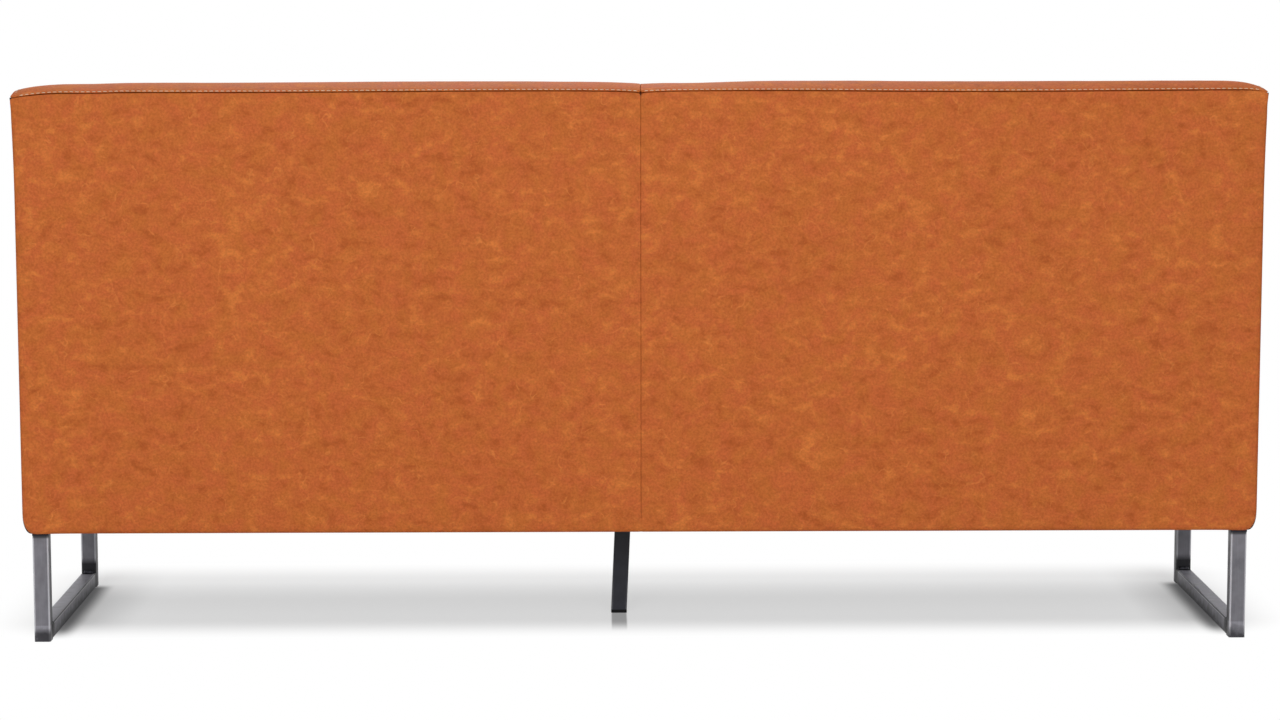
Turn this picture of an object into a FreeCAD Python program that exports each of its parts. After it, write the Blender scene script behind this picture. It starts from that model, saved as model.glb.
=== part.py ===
"""Upholstered kitchen bench: a timber seat box and a padded back on two steel sled legs and a centre leg.

Millimetres. +X runs along the bench, -Y is the side people sit on, +Z is up.
The origin is on the floor under the middle of the body.
"""

import FreeCAD
import Part
import Sketcher
import math
import os
import re

V = FreeCAD.Vector

# Driving dimensions: name, size, what it measures
SIZES = (
    ("body_width", 1800, "body over its two side covers"),
    ("body_depth", 580, "body from front border to outside back"),
    ("leg_height", 165.5, "floor to the underside of the body"),
    ("seam_height", 806.5, "floor to the rear top seam"),
    ("seat_height", 478.5, "floor to the crown of the seat"),
    ("cover", 1.4, "thickness of the cover material"),
    ("padding", 8, "thin foam under the flat covers"),
    ("liner", 3, "back liner board"),
    ("dust_sheet", 1, "sheet under the body"),
    ("tube", 23.5, "side of the sled tube"),
    ("tube_wall", 1.5, "wall of the sled tube"),
    ("tube_corner", 3, "outer corner radius of the sled tube"),
    ("sled_inset", 11.4, "side of the body to the outer face of a sled"),
    ("sled_setback", 12, "outside back to the rear face of a sled"),
    ("sled_front_setback", 108, "front border to the front face of a sled"),
    ("strip", 5, "thickness of the mounting strip on a sled"),
    ("weld", 4, "leg length of a weld bead"),
    ("glide", 3, "height of a glide below the floor rail"),
    ("glide_width", 14, "diameter of a glide"),
    ("leg_screw", 8, "coach screw shank"),
    ("leg_screw_grip", 50, "coach screw length inside the timber"),
    ("leg_screw_head", 5.5, "height of a coach screw head"),
    ("leg_screw_key", 13, "coach screw head across its flats"),
    ("centre_leg", 24, "side of the centre leg tube"),
    ("centre_leg_x", 24, "middle of the body to the top of the centre leg"),
    ("centre_leg_y", 44, "middle of the body back to the centre leg"),
    ("centre_leg_splay", 7, "sideways run of the centre leg"),
    ("centre_plate", 64, "side of the centre leg plate"),
    ("centre_plate_thick", 4, "thickness of the centre leg plate"),
    ("foot", 5, "height of the centre leg foot"),
    ("wood_screw", 5, "wood screw shank"),
    ("wood_screw_head", 3, "height of a wood screw head"),
    ("wood_screw_grip", 45, "wood screw length past the first board"),
    ("rail_thick", 28, "thickness of the seat box rails"),
    ("rail_height", 172, "height of the seat box rails"),
    ("stretcher_height", 80, "height of the seat box stretchers"),
    ("corner_block", 70, "leg length of a corner block"),
    ("post_thick", 22, "thickness of a back post"),
    ("top_rail", 22, "thickness of the back top rail"),
    ("middle_rail_height", 60, "height of a back middle rail"),
    ("middle_rail_at", 100, "seat deck to the underside of a back middle rail"),
    ("post_bolt", 8, "back post bolt shank"),
    ("post_nut", 6.4, "height of a back post nut"),
    ("post_nut_width", 14, "diameter of a back post nut"),
    ("back_foot", 154, "depth of the back at the seat deck"),
    ("back_head", 108, "depth of the back at the top seam"),
    ("back_foam", 60, "thickness of the back foam"),
    ("top_foam", 18, "top rail to the height of the top seam"),
    ("back_crown", 11, "rise of the top band above its seam"),
    ("crown_chord", 80, "depth of the crowned top band"),
    ("seat_crown", 14, "rise of the seat from front to middle"),
    ("seat_edge", 36, "front edge radius of the seat"),
    ("draw_reach", 90, "length over which seams draw a cushion in"),
    ("seam_draw", 3, "draw of the centre seam"),
    ("end_draw", 8, "draw of the end seams"),
    ("webbing", 1.6, "thickness of the back webbing"),
    ("webbing_width", 60, "width of a back web"),
    ("spring_wire", 3.8, "wire of the seat springs"),
    ("spring_bar", 30, "straight bar of a seat spring"),
    ("spring_turn", 26, "distance between two bars of a seat spring, about"),
    ("spring_pitch", 134, "distance between two seat springs, about"),
    ("clip_height", 8, "height of a spring clip"),
    ("clip_width", 20, "width of a spring clip"),
    ("felt", 2, "felt over the springs"),
    ("seat_gap", 1, "seat foam to the back cover"),
    ("ease", 0.5, "play between a foam and its cover"),
)

# Positions that follow from the driving dimensions
LAYOUT = (
    ("half_width", "body_width / 2", "side of the body"),
    ("rear", "body_depth / 2", "outside back"),
    ("front", "-body_depth / 2", "front border"),
    ("side_skin", "half_width - cover", "inner face of a side cover"),
    ("rear_skin", "rear - cover", "inner face of the outside back cover"),
    ("front_skin", "front + cover", "inner face of the front border"),
    ("side_face", "side_skin - padding", "outer face of the side timber"),
    ("rear_face", "rear_skin - padding - liner", "rear face of the timber"),
    ("front_face", "front_skin + padding", "front face of the timber"),
    ("side_inner", "side_face - rail_thick", "inner face of a side rail"),
    ("rear_inner", "rear_face - rail_thick", "inner face of the rear rail"),
    ("front_inner", "front_face + rail_thick", "inner face of the front rail"),
    ("quarter", "side_face / 2", "middle of a stretcher"),
    ("half_rail", "rail_thick / 2", "side of the centre rail"),
    ("frame_base", "leg_height + dust_sheet", "underside of the timber"),
    ("rail_top", "frame_base + rail_height", "top of the seat box rails"),
    ("deck", "rail_top + clip_height + felt", "seat deck under the foam"),
    ("sled_outer", "half_width - sled_inset", "outer face of a sled"),
    ("sled_middle", "sled_outer - tube / 2", "middle plane of a sled"),
    ("sled_rear", "rear - sled_setback", "rear face of a sled"),
    ("sled_front", "front + sled_front_setback", "front face of a sled"),
    ("sled_depth", "sled_rear - sled_front", "sled over its two uprights"),
    ("strip_base", "leg_height - strip", "underside of a mounting strip"),
    ("top_rail_top", "seam_height - top_foam", "top of the back top rail"),
    ("top_rail_base", "top_rail_top - top_rail", "underside of the back top rail"),
    ("back_slope", "(back_foot - back_head) / (seam_height - deck)", "run of the back per rise"),
    ("post_foot", "rear - back_foot + cover + back_foam + webbing", "front of a post at the deck"),
    ("post_head", "post_foot + back_slope * (top_rail_base - deck)", "front of a post under the top rail"),
    ("post_inner", "side_inner - post_thick", "inner face of an end post"),
    ("centre_post_outer", "half_rail + post_thick", "outer face of a centre post"),
    ("middle_rail_base", "deck + middle_rail_at", "underside of a back middle rail"),
    ("cover_top", "seam_height - 2 * cover", "top edge of the outside back cover"),
    ("leg_screw_base", "strip_base - leg_screw_head", "underside of a coach screw head"),
    ("plate_base", "leg_height - centre_plate_thick", "underside of the centre leg plate"),
    ("plate_hole", "centre_plate / 2 - 2 * wood_screw", "plate screw offset from the leg"),
    ("block_outer", "centre_leg_x + centre_plate / 2", "outer face of the block over the leg"),
)

SIDES = (("left", 1), ("right", -1))
COACH_SCREWS_PER_SLED = 4
WEBS_PER_HALF = 3
SECTIONS_PER_HALF = 24
RAIL_SCREW_HEIGHTS = (0.25, 0.75)
POST_BOLT_HEIGHTS = (0.5, 0.9)
WIRE_PLAY = 0.1
CLIP_STOCK = 12

doc = FreeCAD.newDocument("kitchen_bench")
parts = []


def make_sheets():
    """The sheet of driving dimensions and the sheet of positions that follow from them."""
    sizes = doc.addObject("Spreadsheet::Sheet", "Sizes")
    for row, (name, size, meaning) in enumerate(SIZES, start=1):
        sizes.set(f"A{row}", meaning)
        sizes.set(f"B{row}", str(size))
        sizes.setAlias(f"B{row}", name)
    doc.recompute()
    layout = doc.addObject("Spreadsheet::Sheet", "Layout")
    for row, (name, formula, meaning) in enumerate(LAYOUT, start=1):
        layout.set(f"A{row}", meaning)
        layout.set(f"B{row}", "=" + full(formula))
        layout.setAlias(f"B{row}", name)
        doc.recompute()
    return sizes


SHEET_OF = {row[0]: "Sizes" for row in SIZES}
SHEET_OF.update({row[0]: "Layout" for row in LAYOUT})


def full(formula):
    """A formula with the sheet put in front of each cell name."""
    def prefixed(match):
        name = match.group(0)
        return f"{SHEET_OF[name]}.{name}" if name in SHEET_OF else name
    return re.sub(r"[a-z_]+", prefixed, str(formula))


def value(formula):
    """The number that a formula of cell names gives."""
    return float(sizes_sheet.evalExpression(full(formula)))


def bind(thing, prop, formula):
    """Ties a property to a formula of cell names."""
    thing.setExpression(prop, full(formula))


def place(thing, x, y, z):
    """Ties the three position properties to formulas."""
    for axis, formula in zip("xyz", (x, y, z)):
        bind(thing, f"Placement.Base.{axis}", formula)


def keep(thing, label):
    """Marks a document object as a sub-part that is written to its own file."""
    thing.Label = label
    parts.append(thing)
    return thing


# Plain building blocks

def board(name, x, y, z):
    """A board between two positions on each axis."""
    box = doc.addObject("Part::Box", name)
    for prop, (low, high) in zip(("Length", "Width", "Height"), (x, y, z)):
        bind(box, prop, f"({high}) - ({low})")
    place(box, x[0], y[0], z[0])
    return box


def rod(name, x, y, z, diameter, length, axis="z"):
    """A round rod that starts at a point and runs along +X, +Y or +Z."""
    cylinder = doc.addObject("Part::Cylinder", name)
    bind(cylinder, "Radius", f"({diameter}) / 2")
    bind(cylinder, "Height", length)
    if axis == "y":
        cylinder.Placement.Rotation = FreeCAD.Rotation(V(1, 0, 0), -90)
    if axis == "x":
        cylinder.Placement.Rotation = FreeCAD.Rotation(V(0, 1, 0), 90)
    place(cylinder, x, y, z)
    return cylinder


def drilled(name, base, holes):
    """A piece with a set of holes cut through it."""
    drills = doc.addObject("Part::Compound", name + "_drills")
    drills.Links = holes
    cut = doc.addObject("Part::Cut", name)
    cut.Base = base
    cut.Tool = drills
    return cut


def fused(name, pieces):
    """Several primitives as one solid."""
    fuse = doc.addObject("Part::MultiFuse", name)
    fuse.Shapes = pieces
    fuse.Refine = True
    return fuse


def group(label, shapes):
    """Identical separate solids that share one file."""
    feature = doc.addObject("Part::Feature", label)
    feature.Shape = Part.makeCompound(shapes)
    return keep(feature, label)


def moved(shape, x, y, z, turn=0):
    """A copy of a shape turned about Z and moved."""
    copy = shape.copy()
    copy.Placement = FreeCAD.Placement(V(x, y, z), FreeCAD.Rotation(V(0, 0, 1), turn)) * copy.Placement
    return copy


def attach(sketch, body, plane):
    """Lays a sketch on one of its body's own planes."""
    support = [feature for feature in body.Origin.OriginFeatures if feature.Role == plane][0]
    sketch.AttachmentSupport = [(support, "")]
    sketch.MapMode = "FlatFace"


def dimension(sketch, kind, elements, formula):
    """Adds a dimension to a sketch and ties it to a formula."""
    index = sketch.addConstraint(Sketcher.Constraint(kind, *elements, value(formula)))
    bind(sketch, f"Constraints[{index}]", formula)


def polygon(sketch, corners):
    """A closed outline with its corners at pairs of formulas."""
    points = [V(value(across), value(up), 0) for across, up in corners]
    count = len(points)
    for index in range(count):
        sketch.addGeometry(Part.LineSegment(points[index], points[(index + 1) % count]))
    for index in range(count):
        sketch.addConstraint(Sketcher.Constraint("Coincident", index, 2, (index + 1) % count, 1))
    for index, (across, up) in enumerate(corners):
        dimension(sketch, "DistanceX", (-1, 1, index, 1), across)
        dimension(sketch, "DistanceY", (-1, 1, index, 1), up)


def rounded_square(sketch, side, corner):
    """A square with rounded corners about the sketch origin."""
    half = value(side) / 2
    radius = value(corner)
    flat = half - radius
    first = sketch.GeometryCount
    ends = [(V(-flat, -half), V(flat, -half)), (V(half, -flat), V(half, flat)),
            (V(flat, half), V(-flat, half)), (V(-half, flat), V(-half, -flat))]
    middles = [V(flat, -flat), V(flat, flat), V(-flat, flat), V(-flat, -flat)]
    for start, end in ends:
        sketch.addGeometry(Part.LineSegment(start, end))
    for index, middle in enumerate(middles):
        start = (index - 1) * math.pi / 2
        circle = Part.Circle(middle, V(0, 0, 1), radius)
        sketch.addGeometry(Part.ArcOfCircle(circle, start, start + math.pi / 2))
    for index in range(4):
        line = first + index
        arc = first + 4 + index
        following = first + (index + 1) % 4
        sketch.addConstraint(Sketcher.Constraint("Tangent", line, 2, arc, 1))
        sketch.addConstraint(Sketcher.Constraint("Tangent", arc, 2, following, 1))
        sketch.addConstraint(Sketcher.Constraint("Vertical" if index % 2 else "Horizontal", line))
        if index:
            sketch.addConstraint(Sketcher.Constraint("Equal", first + 4, arc))
    dimension(sketch, "Radius", (first + 4,), corner)
    dimension(sketch, "DistanceX", (-1, 1, first + 1, 1), f"({side}) / 2")
    dimension(sketch, "DistanceX", (first + 3, 1, -1, 1), f"({side}) / 2")
    dimension(sketch, "DistanceY", (-1, 1, first + 2, 1), f"({side}) / 2")
    dimension(sketch, "DistanceY", (first, 1, -1, 1), f"({side}) / 2")


def tube(label, length, along_y=False):
    """A length of the sled's square tube, upright or along Y."""
    body = doc.addObject("PartDesign::Body", label)
    section = body.newObject("Sketcher::SketchObject", label + "_section")
    attach(section, body, "XY_Plane")
    rounded_square(section, "tube", "tube_corner")
    rounded_square(section, "tube - 2 * tube_wall", "tube_corner - tube_wall")
    pad = body.newObject("PartDesign::Pad", label + "_pad")
    pad.Profile = section
    bind(pad, "Length", length)
    if along_y:
        body.Placement.Rotation = FreeCAD.Rotation(V(1, 0, 0), -90)
    return body


def profile(label, corners, x, thickness):
    """A flat piece with its outline in Y and Z that is thickness wide from x."""
    body = doc.addObject("PartDesign::Body", label)
    outline = body.newObject("Sketcher::SketchObject", label + "_outline")
    attach(outline, body, "YZ_Plane")
    polygon(outline, corners)
    pad = body.newObject("PartDesign::Pad", label + "_pad")
    pad.Profile = outline
    bind(pad, "Length", thickness)
    bind(body, "Placement.Base.x", x)
    return body


def signed(sign, formula):
    """A formula on the left or right half."""
    return f"({formula})" if sign > 0 else f"-({formula})"


def span(sign, inner, outer):
    """Two X positions of one half, low one first."""
    return (inner, outer) if sign > 0 else (f"-({outer})", f"-({inner})")


# Sled legs

def coach_screw_places():
    """Y formulas of the coach screws of a sled, between its uprights."""
    share = COACH_SCREWS_PER_SLED + 1
    return [f"sled_front + sled_depth * {index + 1} / {share}" for index in range(COACH_SCREWS_PER_SLED)]


def plate_screw_places():
    """X and Y formulas of the screws round the centre leg."""
    return [(f"centre_leg_x + {i} * plate_hole", f"centre_leg_y + {j} * plate_hole")
            for i in (-1, 1) for j in (-1, 1)]


def make_sled(side, sign):
    """Two uprights and a floor rail of square tube under a flat mounting strip."""
    middle = signed(sign, "sled_middle")
    for name, y in (("rear", "sled_rear - tube / 2"), ("front", "sled_front + tube / 2")):
        upright = tube(f"{side}_sled_{name}_upright", "strip_base - glide")
        place(upright, middle, y, "glide")
        keep(upright, f"{side}_sled_{name}_upright")
    rail = tube(f"{side}_sled_floor_rail", "sled_depth - 2 * tube", along_y=True)
    place(rail, middle, "sled_front + tube", "glide + tube / 2")
    keep(rail, f"{side}_sled_floor_rail")
    plain = board(f"{side}_strip_blank", span(sign, "sled_outer - tube", "sled_outer"),
                  ("sled_front", "sled_rear"), ("strip_base", "leg_height"))
    holes = [rod(f"{side}_strip_hole_{index}", middle, y, "strip_base", "leg_screw", "strip")
             for index, y in enumerate(coach_screw_places())]
    keep(drilled(f"{side}_sled_mount_strip", plain, holes), f"{side}_sled_mount_strip")


def weld_bead(y, z, y_way, z_way):
    """A three-cornered bead across the flat of the tube, in an inside corner of a sled."""
    width = value("tube - 2 * tube_corner")
    leg = value("weld")
    corner = V(-width / 2, y, z)
    outline = Part.makePolygon([corner, corner + V(0, y_way * leg, 0), corner + V(0, 0, z_way * leg), corner])
    return Part.Face(outline).extrude(V(width, 0, 0))


def make_welds():
    """Beads where the floor rail and the mounting strip meet the uprights."""
    rear = value("sled_rear - tube")
    front = value("sled_front + tube")
    low = value("glide + tube")
    high = value("strip_base")
    beads = [weld_bead(rear, low, -1, 1), weld_bead(front, low, 1, 1),
             weld_bead(rear, high, -1, -1), weld_bead(front, high, 1, -1)]
    middle = value("sled_middle")
    group("sled_welds", [moved(bead, sign * middle, 0, 0) for _, sign in SIDES for bead in beads])


def make_glides():
    """A round glide under each end of the floor rails."""
    disc = Part.makeCylinder(value("glide_width / 2"), value("glide"))
    edge = [edge for edge in disc.Edges if edge.BoundBox.ZMax < value("glide") / 2]
    disc = disc.makeChamfer(value("glide") / 3, edge)
    middle = value("sled_middle")
    ends = (value("sled_front + 1.5 * tube"), value("sled_rear - 1.5 * tube"))
    group("sled_glides", [moved(disc, sign * middle, y, 0) for _, sign in SIDES for y in ends])


def make_coach_screws():
    """Hexagon head coach screws from the mounting strips up into the side rails."""
    head = doc.addObject("Part::Prism", "coach_screw_head")
    head.Polygon = 6
    bind(head, "Circumradius", "leg_screw_key / sqrt(3)")
    bind(head, "Height", "leg_screw_head")
    shank = rod("coach_screw_shank", "0", "0", "leg_screw_head", "leg_screw",
                "strip + dust_sheet + leg_screw_grip")
    screw = fused("coach_screw", [head, shank])
    doc.recompute()
    places = [(sign * value("sled_middle"), value(y)) for _, sign in SIDES for y in coach_screw_places()]
    group("coach_screws", [moved(screw.Shape, x, y, value("leg_screw_base")) for x, y in places])


# Centre leg

def leg_section(body, name, side, corner, sideways, height):
    """One square section of the centre leg, shifted sideways and up."""
    section = body.newObject("Sketcher::SketchObject", name)
    attach(section, body, "XY_Plane")
    rounded_square(section, side, corner)
    bind(section, "AttachmentOffset.Base.x", sideways)
    bind(section, "AttachmentOffset.Base.z", height)
    return section


def make_centre_leg():
    """A slightly splayed square tube with a foot, on a plate with four screws."""
    height = "plate_base - foot"
    body = doc.addObject("PartDesign::Body", "centre_leg_tube")
    for kind, side, corner in (("AdditiveLoft", "centre_leg", "tube_corner"),
                               ("SubtractiveLoft", "centre_leg - 2 * tube_wall", "tube_corner - tube_wall")):
        low = leg_section(body, f"{kind}_low", side, corner, "centre_leg_splay", "0")
        high = leg_section(body, f"{kind}_high", side, corner, "0", height)
        loft = body.newObject(f"PartDesign::{kind}", f"centre_leg_{kind}")
        loft.Profile = low
        loft.Sections = [high]
        loft.Ruled = True
    place(body, "centre_leg_x", "centre_leg_y", "foot")
    keep(body, "centre_leg_tube")

    foot = doc.addObject("PartDesign::Body", "centre_leg_foot")
    outline = leg_section(foot, "centre_leg_foot_outline", "centre_leg", "tube_corner",
                          "centre_leg_splay", "0")
    pad = foot.newObject("PartDesign::Pad", "centre_leg_foot_pad")
    pad.Profile = outline
    bind(pad, "Length", "foot")
    place(foot, "centre_leg_x", "centre_leg_y", "0")
    keep(foot, "centre_leg_foot")

    half = "centre_plate / 2"
    plain = board("centre_plate_blank", (f"centre_leg_x - {half}", f"centre_leg_x + {half}"),
                  (f"centre_leg_y - {half}", f"centre_leg_y + {half}"), ("plate_base", "leg_height"))
    holes = [rod(f"centre_plate_hole_{index}", x, y, "plate_base", "wood_screw", "centre_plate_thick")
             for index, (x, y) in enumerate(plate_screw_places())]
    keep(drilled("centre_leg_plate", plain, holes), "centre_leg_plate")


def wood_screw(length):
    """A cheese head wood screw that points up, with its head below zero."""
    head_height = value("wood_screw_head")
    head = Part.makeCylinder(value("wood_screw"), head_height, V(0, 0, -head_height))
    shank = Part.makeCylinder(value("wood_screw / 2"), value(length))
    return head.fuse(shank).removeSplitter()


def make_centre_leg_screws():
    """Four screws up through the plate of the centre leg."""
    screw = wood_screw("centre_plate_thick + dust_sheet + wood_screw_grip")
    group("centre_leg_screws", [moved(screw, value(x), value(y), value("plate_base"))
                                for x, y in plate_screw_places()])


# Seat box

def cross_rails():
    """Name, middle X and height of the boards between the front and rear rails."""
    rails = [("base_centre_rail", "0", "rail_height")]
    for side, sign in SIDES:
        rails.append((f"base_{side}_rail", signed(sign, "side_face - half_rail"), "rail_height"))
        rails.append((f"base_{side}_stretcher", signed(sign, "quarter"), "stretcher_height"))
    return rails


def rail_screw_places():
    """X and Z formulas of the screws through the front and rear rails."""
    return [(x, f"frame_base + {height} * {share}")
            for _, x, height in cross_rails() for share in RAIL_SCREW_HEIGHTS]


def vertical_holes(name, x_and_y, diameter, depth):
    """Pilot holes up into the underside of the timber."""
    return [rod(f"{name}_pilot_{index}", x, y, "frame_base", diameter, depth)
            for index, (x, y) in enumerate(x_and_y)]


def make_cross_rail(name, x, height):
    """A board between the front and rear rails with a pilot hole at each end of each screw line."""
    plain = board(f"{name}_blank", (f"{x} - half_rail", f"{x} + half_rail"),
                  ("front_inner", "rear_inner"), ("frame_base", f"frame_base + {height}"))
    holes = []
    for index, share in enumerate(RAIL_SCREW_HEIGHTS):
        z = f"frame_base + {height} * {share}"
        holes.append(rod(f"{name}_front_{index}", x, "front_inner", z, "wood_screw", "wood_screw_grip", "y"))
        holes.append(rod(f"{name}_rear_{index}", x, "rear_inner - wood_screw_grip", z,
                         "wood_screw", "wood_screw_grip", "y"))
    if name in ("base_left_rail", "base_right_rail"):
        sign = 1 if "left" in name else -1
        places = [(signed(sign, "sled_middle"), y) for y in coach_screw_places()]
        holes += vertical_holes(name, places, "leg_screw", "leg_screw_grip")
        low = span(sign, "side_face - post_nut", "side_face")[0]
        holes += [rod(f"{name}_nut_{index}", low, y, z, "post_nut_width", "post_nut", "x")
                  for index, (y, z) in enumerate(post_bolt_places())]
    if name == "base_centre_rail":
        near = [spot for spot in plate_screw_places() if value(spot[0]) < value("half_rail")]
        holes += vertical_holes(name, near, "wood_screw", "wood_screw_grip")
    if height == "rail_height":
        holes += [rod(f"{name}_post_{index}", f"{x} - half_rail", y, z, "post_bolt", "rail_thick", "x")
                  for index, (y, z) in enumerate(post_bolt_places())]
    keep(drilled(name, plain, holes), name)


def make_seat_box():
    """Front and rear rails, the boards between them, corner blocks and the block over the centre leg."""
    for name, y in (("base_front_rail", ("front_face", "front_inner")),
                    ("base_rear_rail", ("rear_inner", "rear_face"))):
        plain = board(f"{name}_blank", ("-side_face", "side_face"), y, ("frame_base", "rail_top"))
        sink = "front_face" if y[0] == "front_face" else "rear_face - wood_screw_head"
        holes = []
        for index, (x, z) in enumerate(rail_screw_places()):
            holes.append(rod(f"{name}_hole_{index}", x, y[0], z, "wood_screw", "rail_thick", "y"))
            holes.append(rod(f"{name}_sink_{index}", x, sink, z, "2 * wood_screw", "wood_screw_head", "y"))
        keep(drilled(name, plain, holes), name)
    for name, x, height in cross_rails():
        make_cross_rail(name, x, height)

    leg = value("corner_block")
    blocks = []
    for _, sign in SIDES:
        corner = V(sign * value("side_inner"), value("front_inner"), value("frame_base"))
        outline = Part.makePolygon([corner, corner + V(-sign * leg, 0, 0), corner + V(0, leg, 0), corner])
        blocks.append(Part.Face(outline).extrude(V(0, 0, leg)))
    group("front_corner_blocks", blocks)

    plain = board("centre_block_blank", ("half_rail", "block_outer"),
                  ("centre_leg_y - centre_plate / 2", "centre_leg_y + centre_plate / 2"),
                  ("frame_base", "frame_base + corner_block"))
    far = [spot for spot in plate_screw_places() if value(spot[0]) > value("half_rail")]
    holes = vertical_holes("centre_block", far, "wood_screw", "wood_screw_grip")
    keep(drilled("centre_leg_block", plain, holes), "centre_leg_block")


def make_rail_screws():
    """Wood screws, sunk in the front and rear rails, into the boards between them."""
    screw = wood_screw("rail_thick - wood_screw_head + wood_screw_grip")
    screws = []
    for x, z in rail_screw_places():
        for y, turn in (("front_face + wood_screw_head", -90), ("rear_face - wood_screw_head", 90)):
            copy = screw.copy()
            rotation = FreeCAD.Rotation(V(1, 0, 0), turn)
            copy.Placement = FreeCAD.Placement(V(value(x), value(y), value(z)), rotation)
            screws.append(copy)
    group("rail_screws", screws)


# Back frame

def post_bolt_places():
    """Y and Z formulas of the bolts through the foot of a back post."""
    return [("(post_foot + rear_inner) / 2", f"frame_base + rail_height * {share}")
            for share in POST_BOLT_HEIGHTS]


def post_outline():
    """Outline of a back post, notched over the rear rail and raked at its front."""
    return [("rear_inner", "frame_base"), ("rear_inner", "rail_top"), ("rear_face", "rail_top"),
            ("rear_face", "top_rail_base"), ("post_head", "top_rail_base"), ("post_foot", "deck"),
            ("post_foot", "frame_base")]


def make_posts():
    """An end post inside each side rail and a centre post on each side of the centre rail."""
    for side, sign in SIDES:
        for name, inner, outer in ((f"back_{side}_post", "post_inner", "side_inner"),
                                   (f"back_centre_{side}_post", "half_rail", "centre_post_outer")):
            low = span(sign, inner, outer)[0]
            plain = profile(f"{name}_blank", post_outline(), low, "post_thick")
            holes = [rod(f"{name}_hole_{index}", low, y, z, "post_bolt", "post_thick", "x")
                     for index, (y, z) in enumerate(post_bolt_places())]
            keep(drilled(name, plain, holes), name)


def make_back_rails():
    """The top rail over all posts and a middle rail between the posts of each half."""
    keep(board("back_top_rail", ("-side_face", "side_face"), ("post_head", "rear_face"),
               ("top_rail_base", "top_rail_top")), "back_top_rail")
    for side, sign in SIDES:
        name = f"back_{side}_middle_rail"
        keep(board(name, span(sign, "centre_post_outer", "post_inner"),
                   ("rear_face - post_thick", "rear_face"),
                   ("middle_rail_base", "middle_rail_base + middle_rail_height")), name)


def post_bolt(length):
    """A bolt along +X with a round head at its start and a round nut at its far end."""
    along = V(1, 0, 0)
    radius = value("post_bolt / 2")
    shank = Part.makeCylinder(radius, length, V(0, 0, 0), along)
    head = Part.makeCylinder(2 * radius, radius, V(-radius, 0, 0), along)
    nut = Part.makeCylinder(value("post_nut_width / 2"), value("post_nut"), V(length, 0, 0), along)
    return shank.fuse([head, nut]).removeSplitter()


def make_post_bolts():
    """Bolts that clamp the end posts to the side rails and the centre posts to the centre rail."""
    end_bolt = post_bolt(value("post_thick + rail_thick - post_nut"))
    centre_bolt = post_bolt(value("rail_thick + 2 * post_thick"))
    bolts = []
    for y, z in post_bolt_places():
        bolts.append(moved(centre_bolt, value("-centre_post_outer"), value(y), value(z)))
        bolts.append(moved(end_bolt, value("post_inner"), value(y), value(z)))
        bolts.append(moved(end_bolt, value("-post_inner"), value(y), value(z), 180))
    group("post_bolts", bolts)


def make_webbing():
    """Webs across the fronts of the posts, behind the back foam."""
    webs = []
    width = value("webbing_width")
    room = value("top_rail_base - deck")
    step = room / WEBS_PER_HALF
    slope = value("back_slope")
    for _, sign in SIDES:
        for index in range(WEBS_PER_HALF):
            low = value("deck") + step * (index + 0.5) - width / 2
            near = value("post_foot") + slope * (low - value("deck"))
            start = V(sign * value("half_rail"), near, low)
            up = V(0, slope * width, width)
            out = V(0, -value("webbing"), 0)
            outline = Part.makePolygon([start, start + up, start + up + out, start + out, start])
            webs.append(Part.Face(outline).extrude(V(sign * value("side_inner - half_rail"), 0, 0)))
    group("back_webbing", webs)


def make_back_liner():
    """A thin board over the rear of the posts and rails."""
    keep(board("back_liner", ("-side_face", "side_face"), ("rear_face", "rear_face + liner"),
               ("frame_base", "top_rail_top")), "back_liner")


# Seat springs

def spring_rows():
    """X positions of the seat springs, spread evenly between the back posts of each half."""
    start = value("centre_post_outer")
    room = value("post_inner") - start
    count = round(room / value("spring_pitch"))
    return [sign * (start + room * (index + 0.5) / count) for _, sign in SIDES for index in range(count)]


def spring_path():
    """A zigzag of straight bars and half turns from the front rail to the rear rail."""
    start = value("(front_face + front_inner) / 2")
    length = value("rear_face - half_rail") - start
    turns = 2 * round(length / value("spring_turn") / 2)
    step = length / turns
    half_bar = value("spring_bar") / 2
    edges = []
    for index in range(turns + 1):
        way = 1 if index % 2 == 0 else -1
        y = start + index * step
        edges.append(Part.makeLine(V(-way * half_bar, y, 0), V(way * half_bar, y, 0)))
        if index < turns:
            bend = Part.Arc(V(way * half_bar, y, 0), V(way * (half_bar + step / 2), y + step / 2, 0),
                            V(way * half_bar, y + step, 0))
            edges.append(bend.toShape())
    return Part.Wire(edges)


def make_springs():
    """Zigzag wire springs across the seat box, with a clip on the rail at each end."""
    wire = value("spring_wire / 2")
    path = spring_path()
    ends = [path.Edges[0].Vertexes[0].Point, path.Edges[-1].Vertexes[-1].Point]
    section = Part.Wire(Part.makeCircle(wire, ends[0], V(1, 0, 0)))
    spring = path.makePipeShell([section], True, False)
    middle = value("rail_top + clip_height / 2")
    group("seat_springs", [moved(spring, x, 0, middle) for x in spring_rows()])

    width = value("clip_width")
    height = value("clip_height")
    block = Part.makeBox(width, CLIP_STOCK, height, V(-width / 2, -CLIP_STOCK / 2, 0))
    bore = Part.makeCylinder(wire + WIRE_PLAY, width, V(-width / 2, 0, height / 2), V(1, 0, 0))
    clip = block.cut(bore)
    group("spring_clips", [moved(clip, x, end.y, value("rail_top")) for x in spring_rows() for end in ends])


def make_felt():
    """A felt sheet over the springs."""
    keep(board("seat_felt", ("-side_inner", "side_inner"), ("front_face", "post_foot - felt"),
               ("deck - felt", "deck")), "seat_felt")


# Cushions and covers

def draw(x, length):
    """How far the seams draw a cushion half in at a place along it, from the centre seam to the end."""
    reach = value("draw_reach")
    near_seam = max(0.0, 1 - x / reach) ** 2
    near_end = max(0.0, 1 - (length - x) / reach) ** 2
    return value("seam_draw") * near_seam + value("end_draw") * near_end


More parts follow.
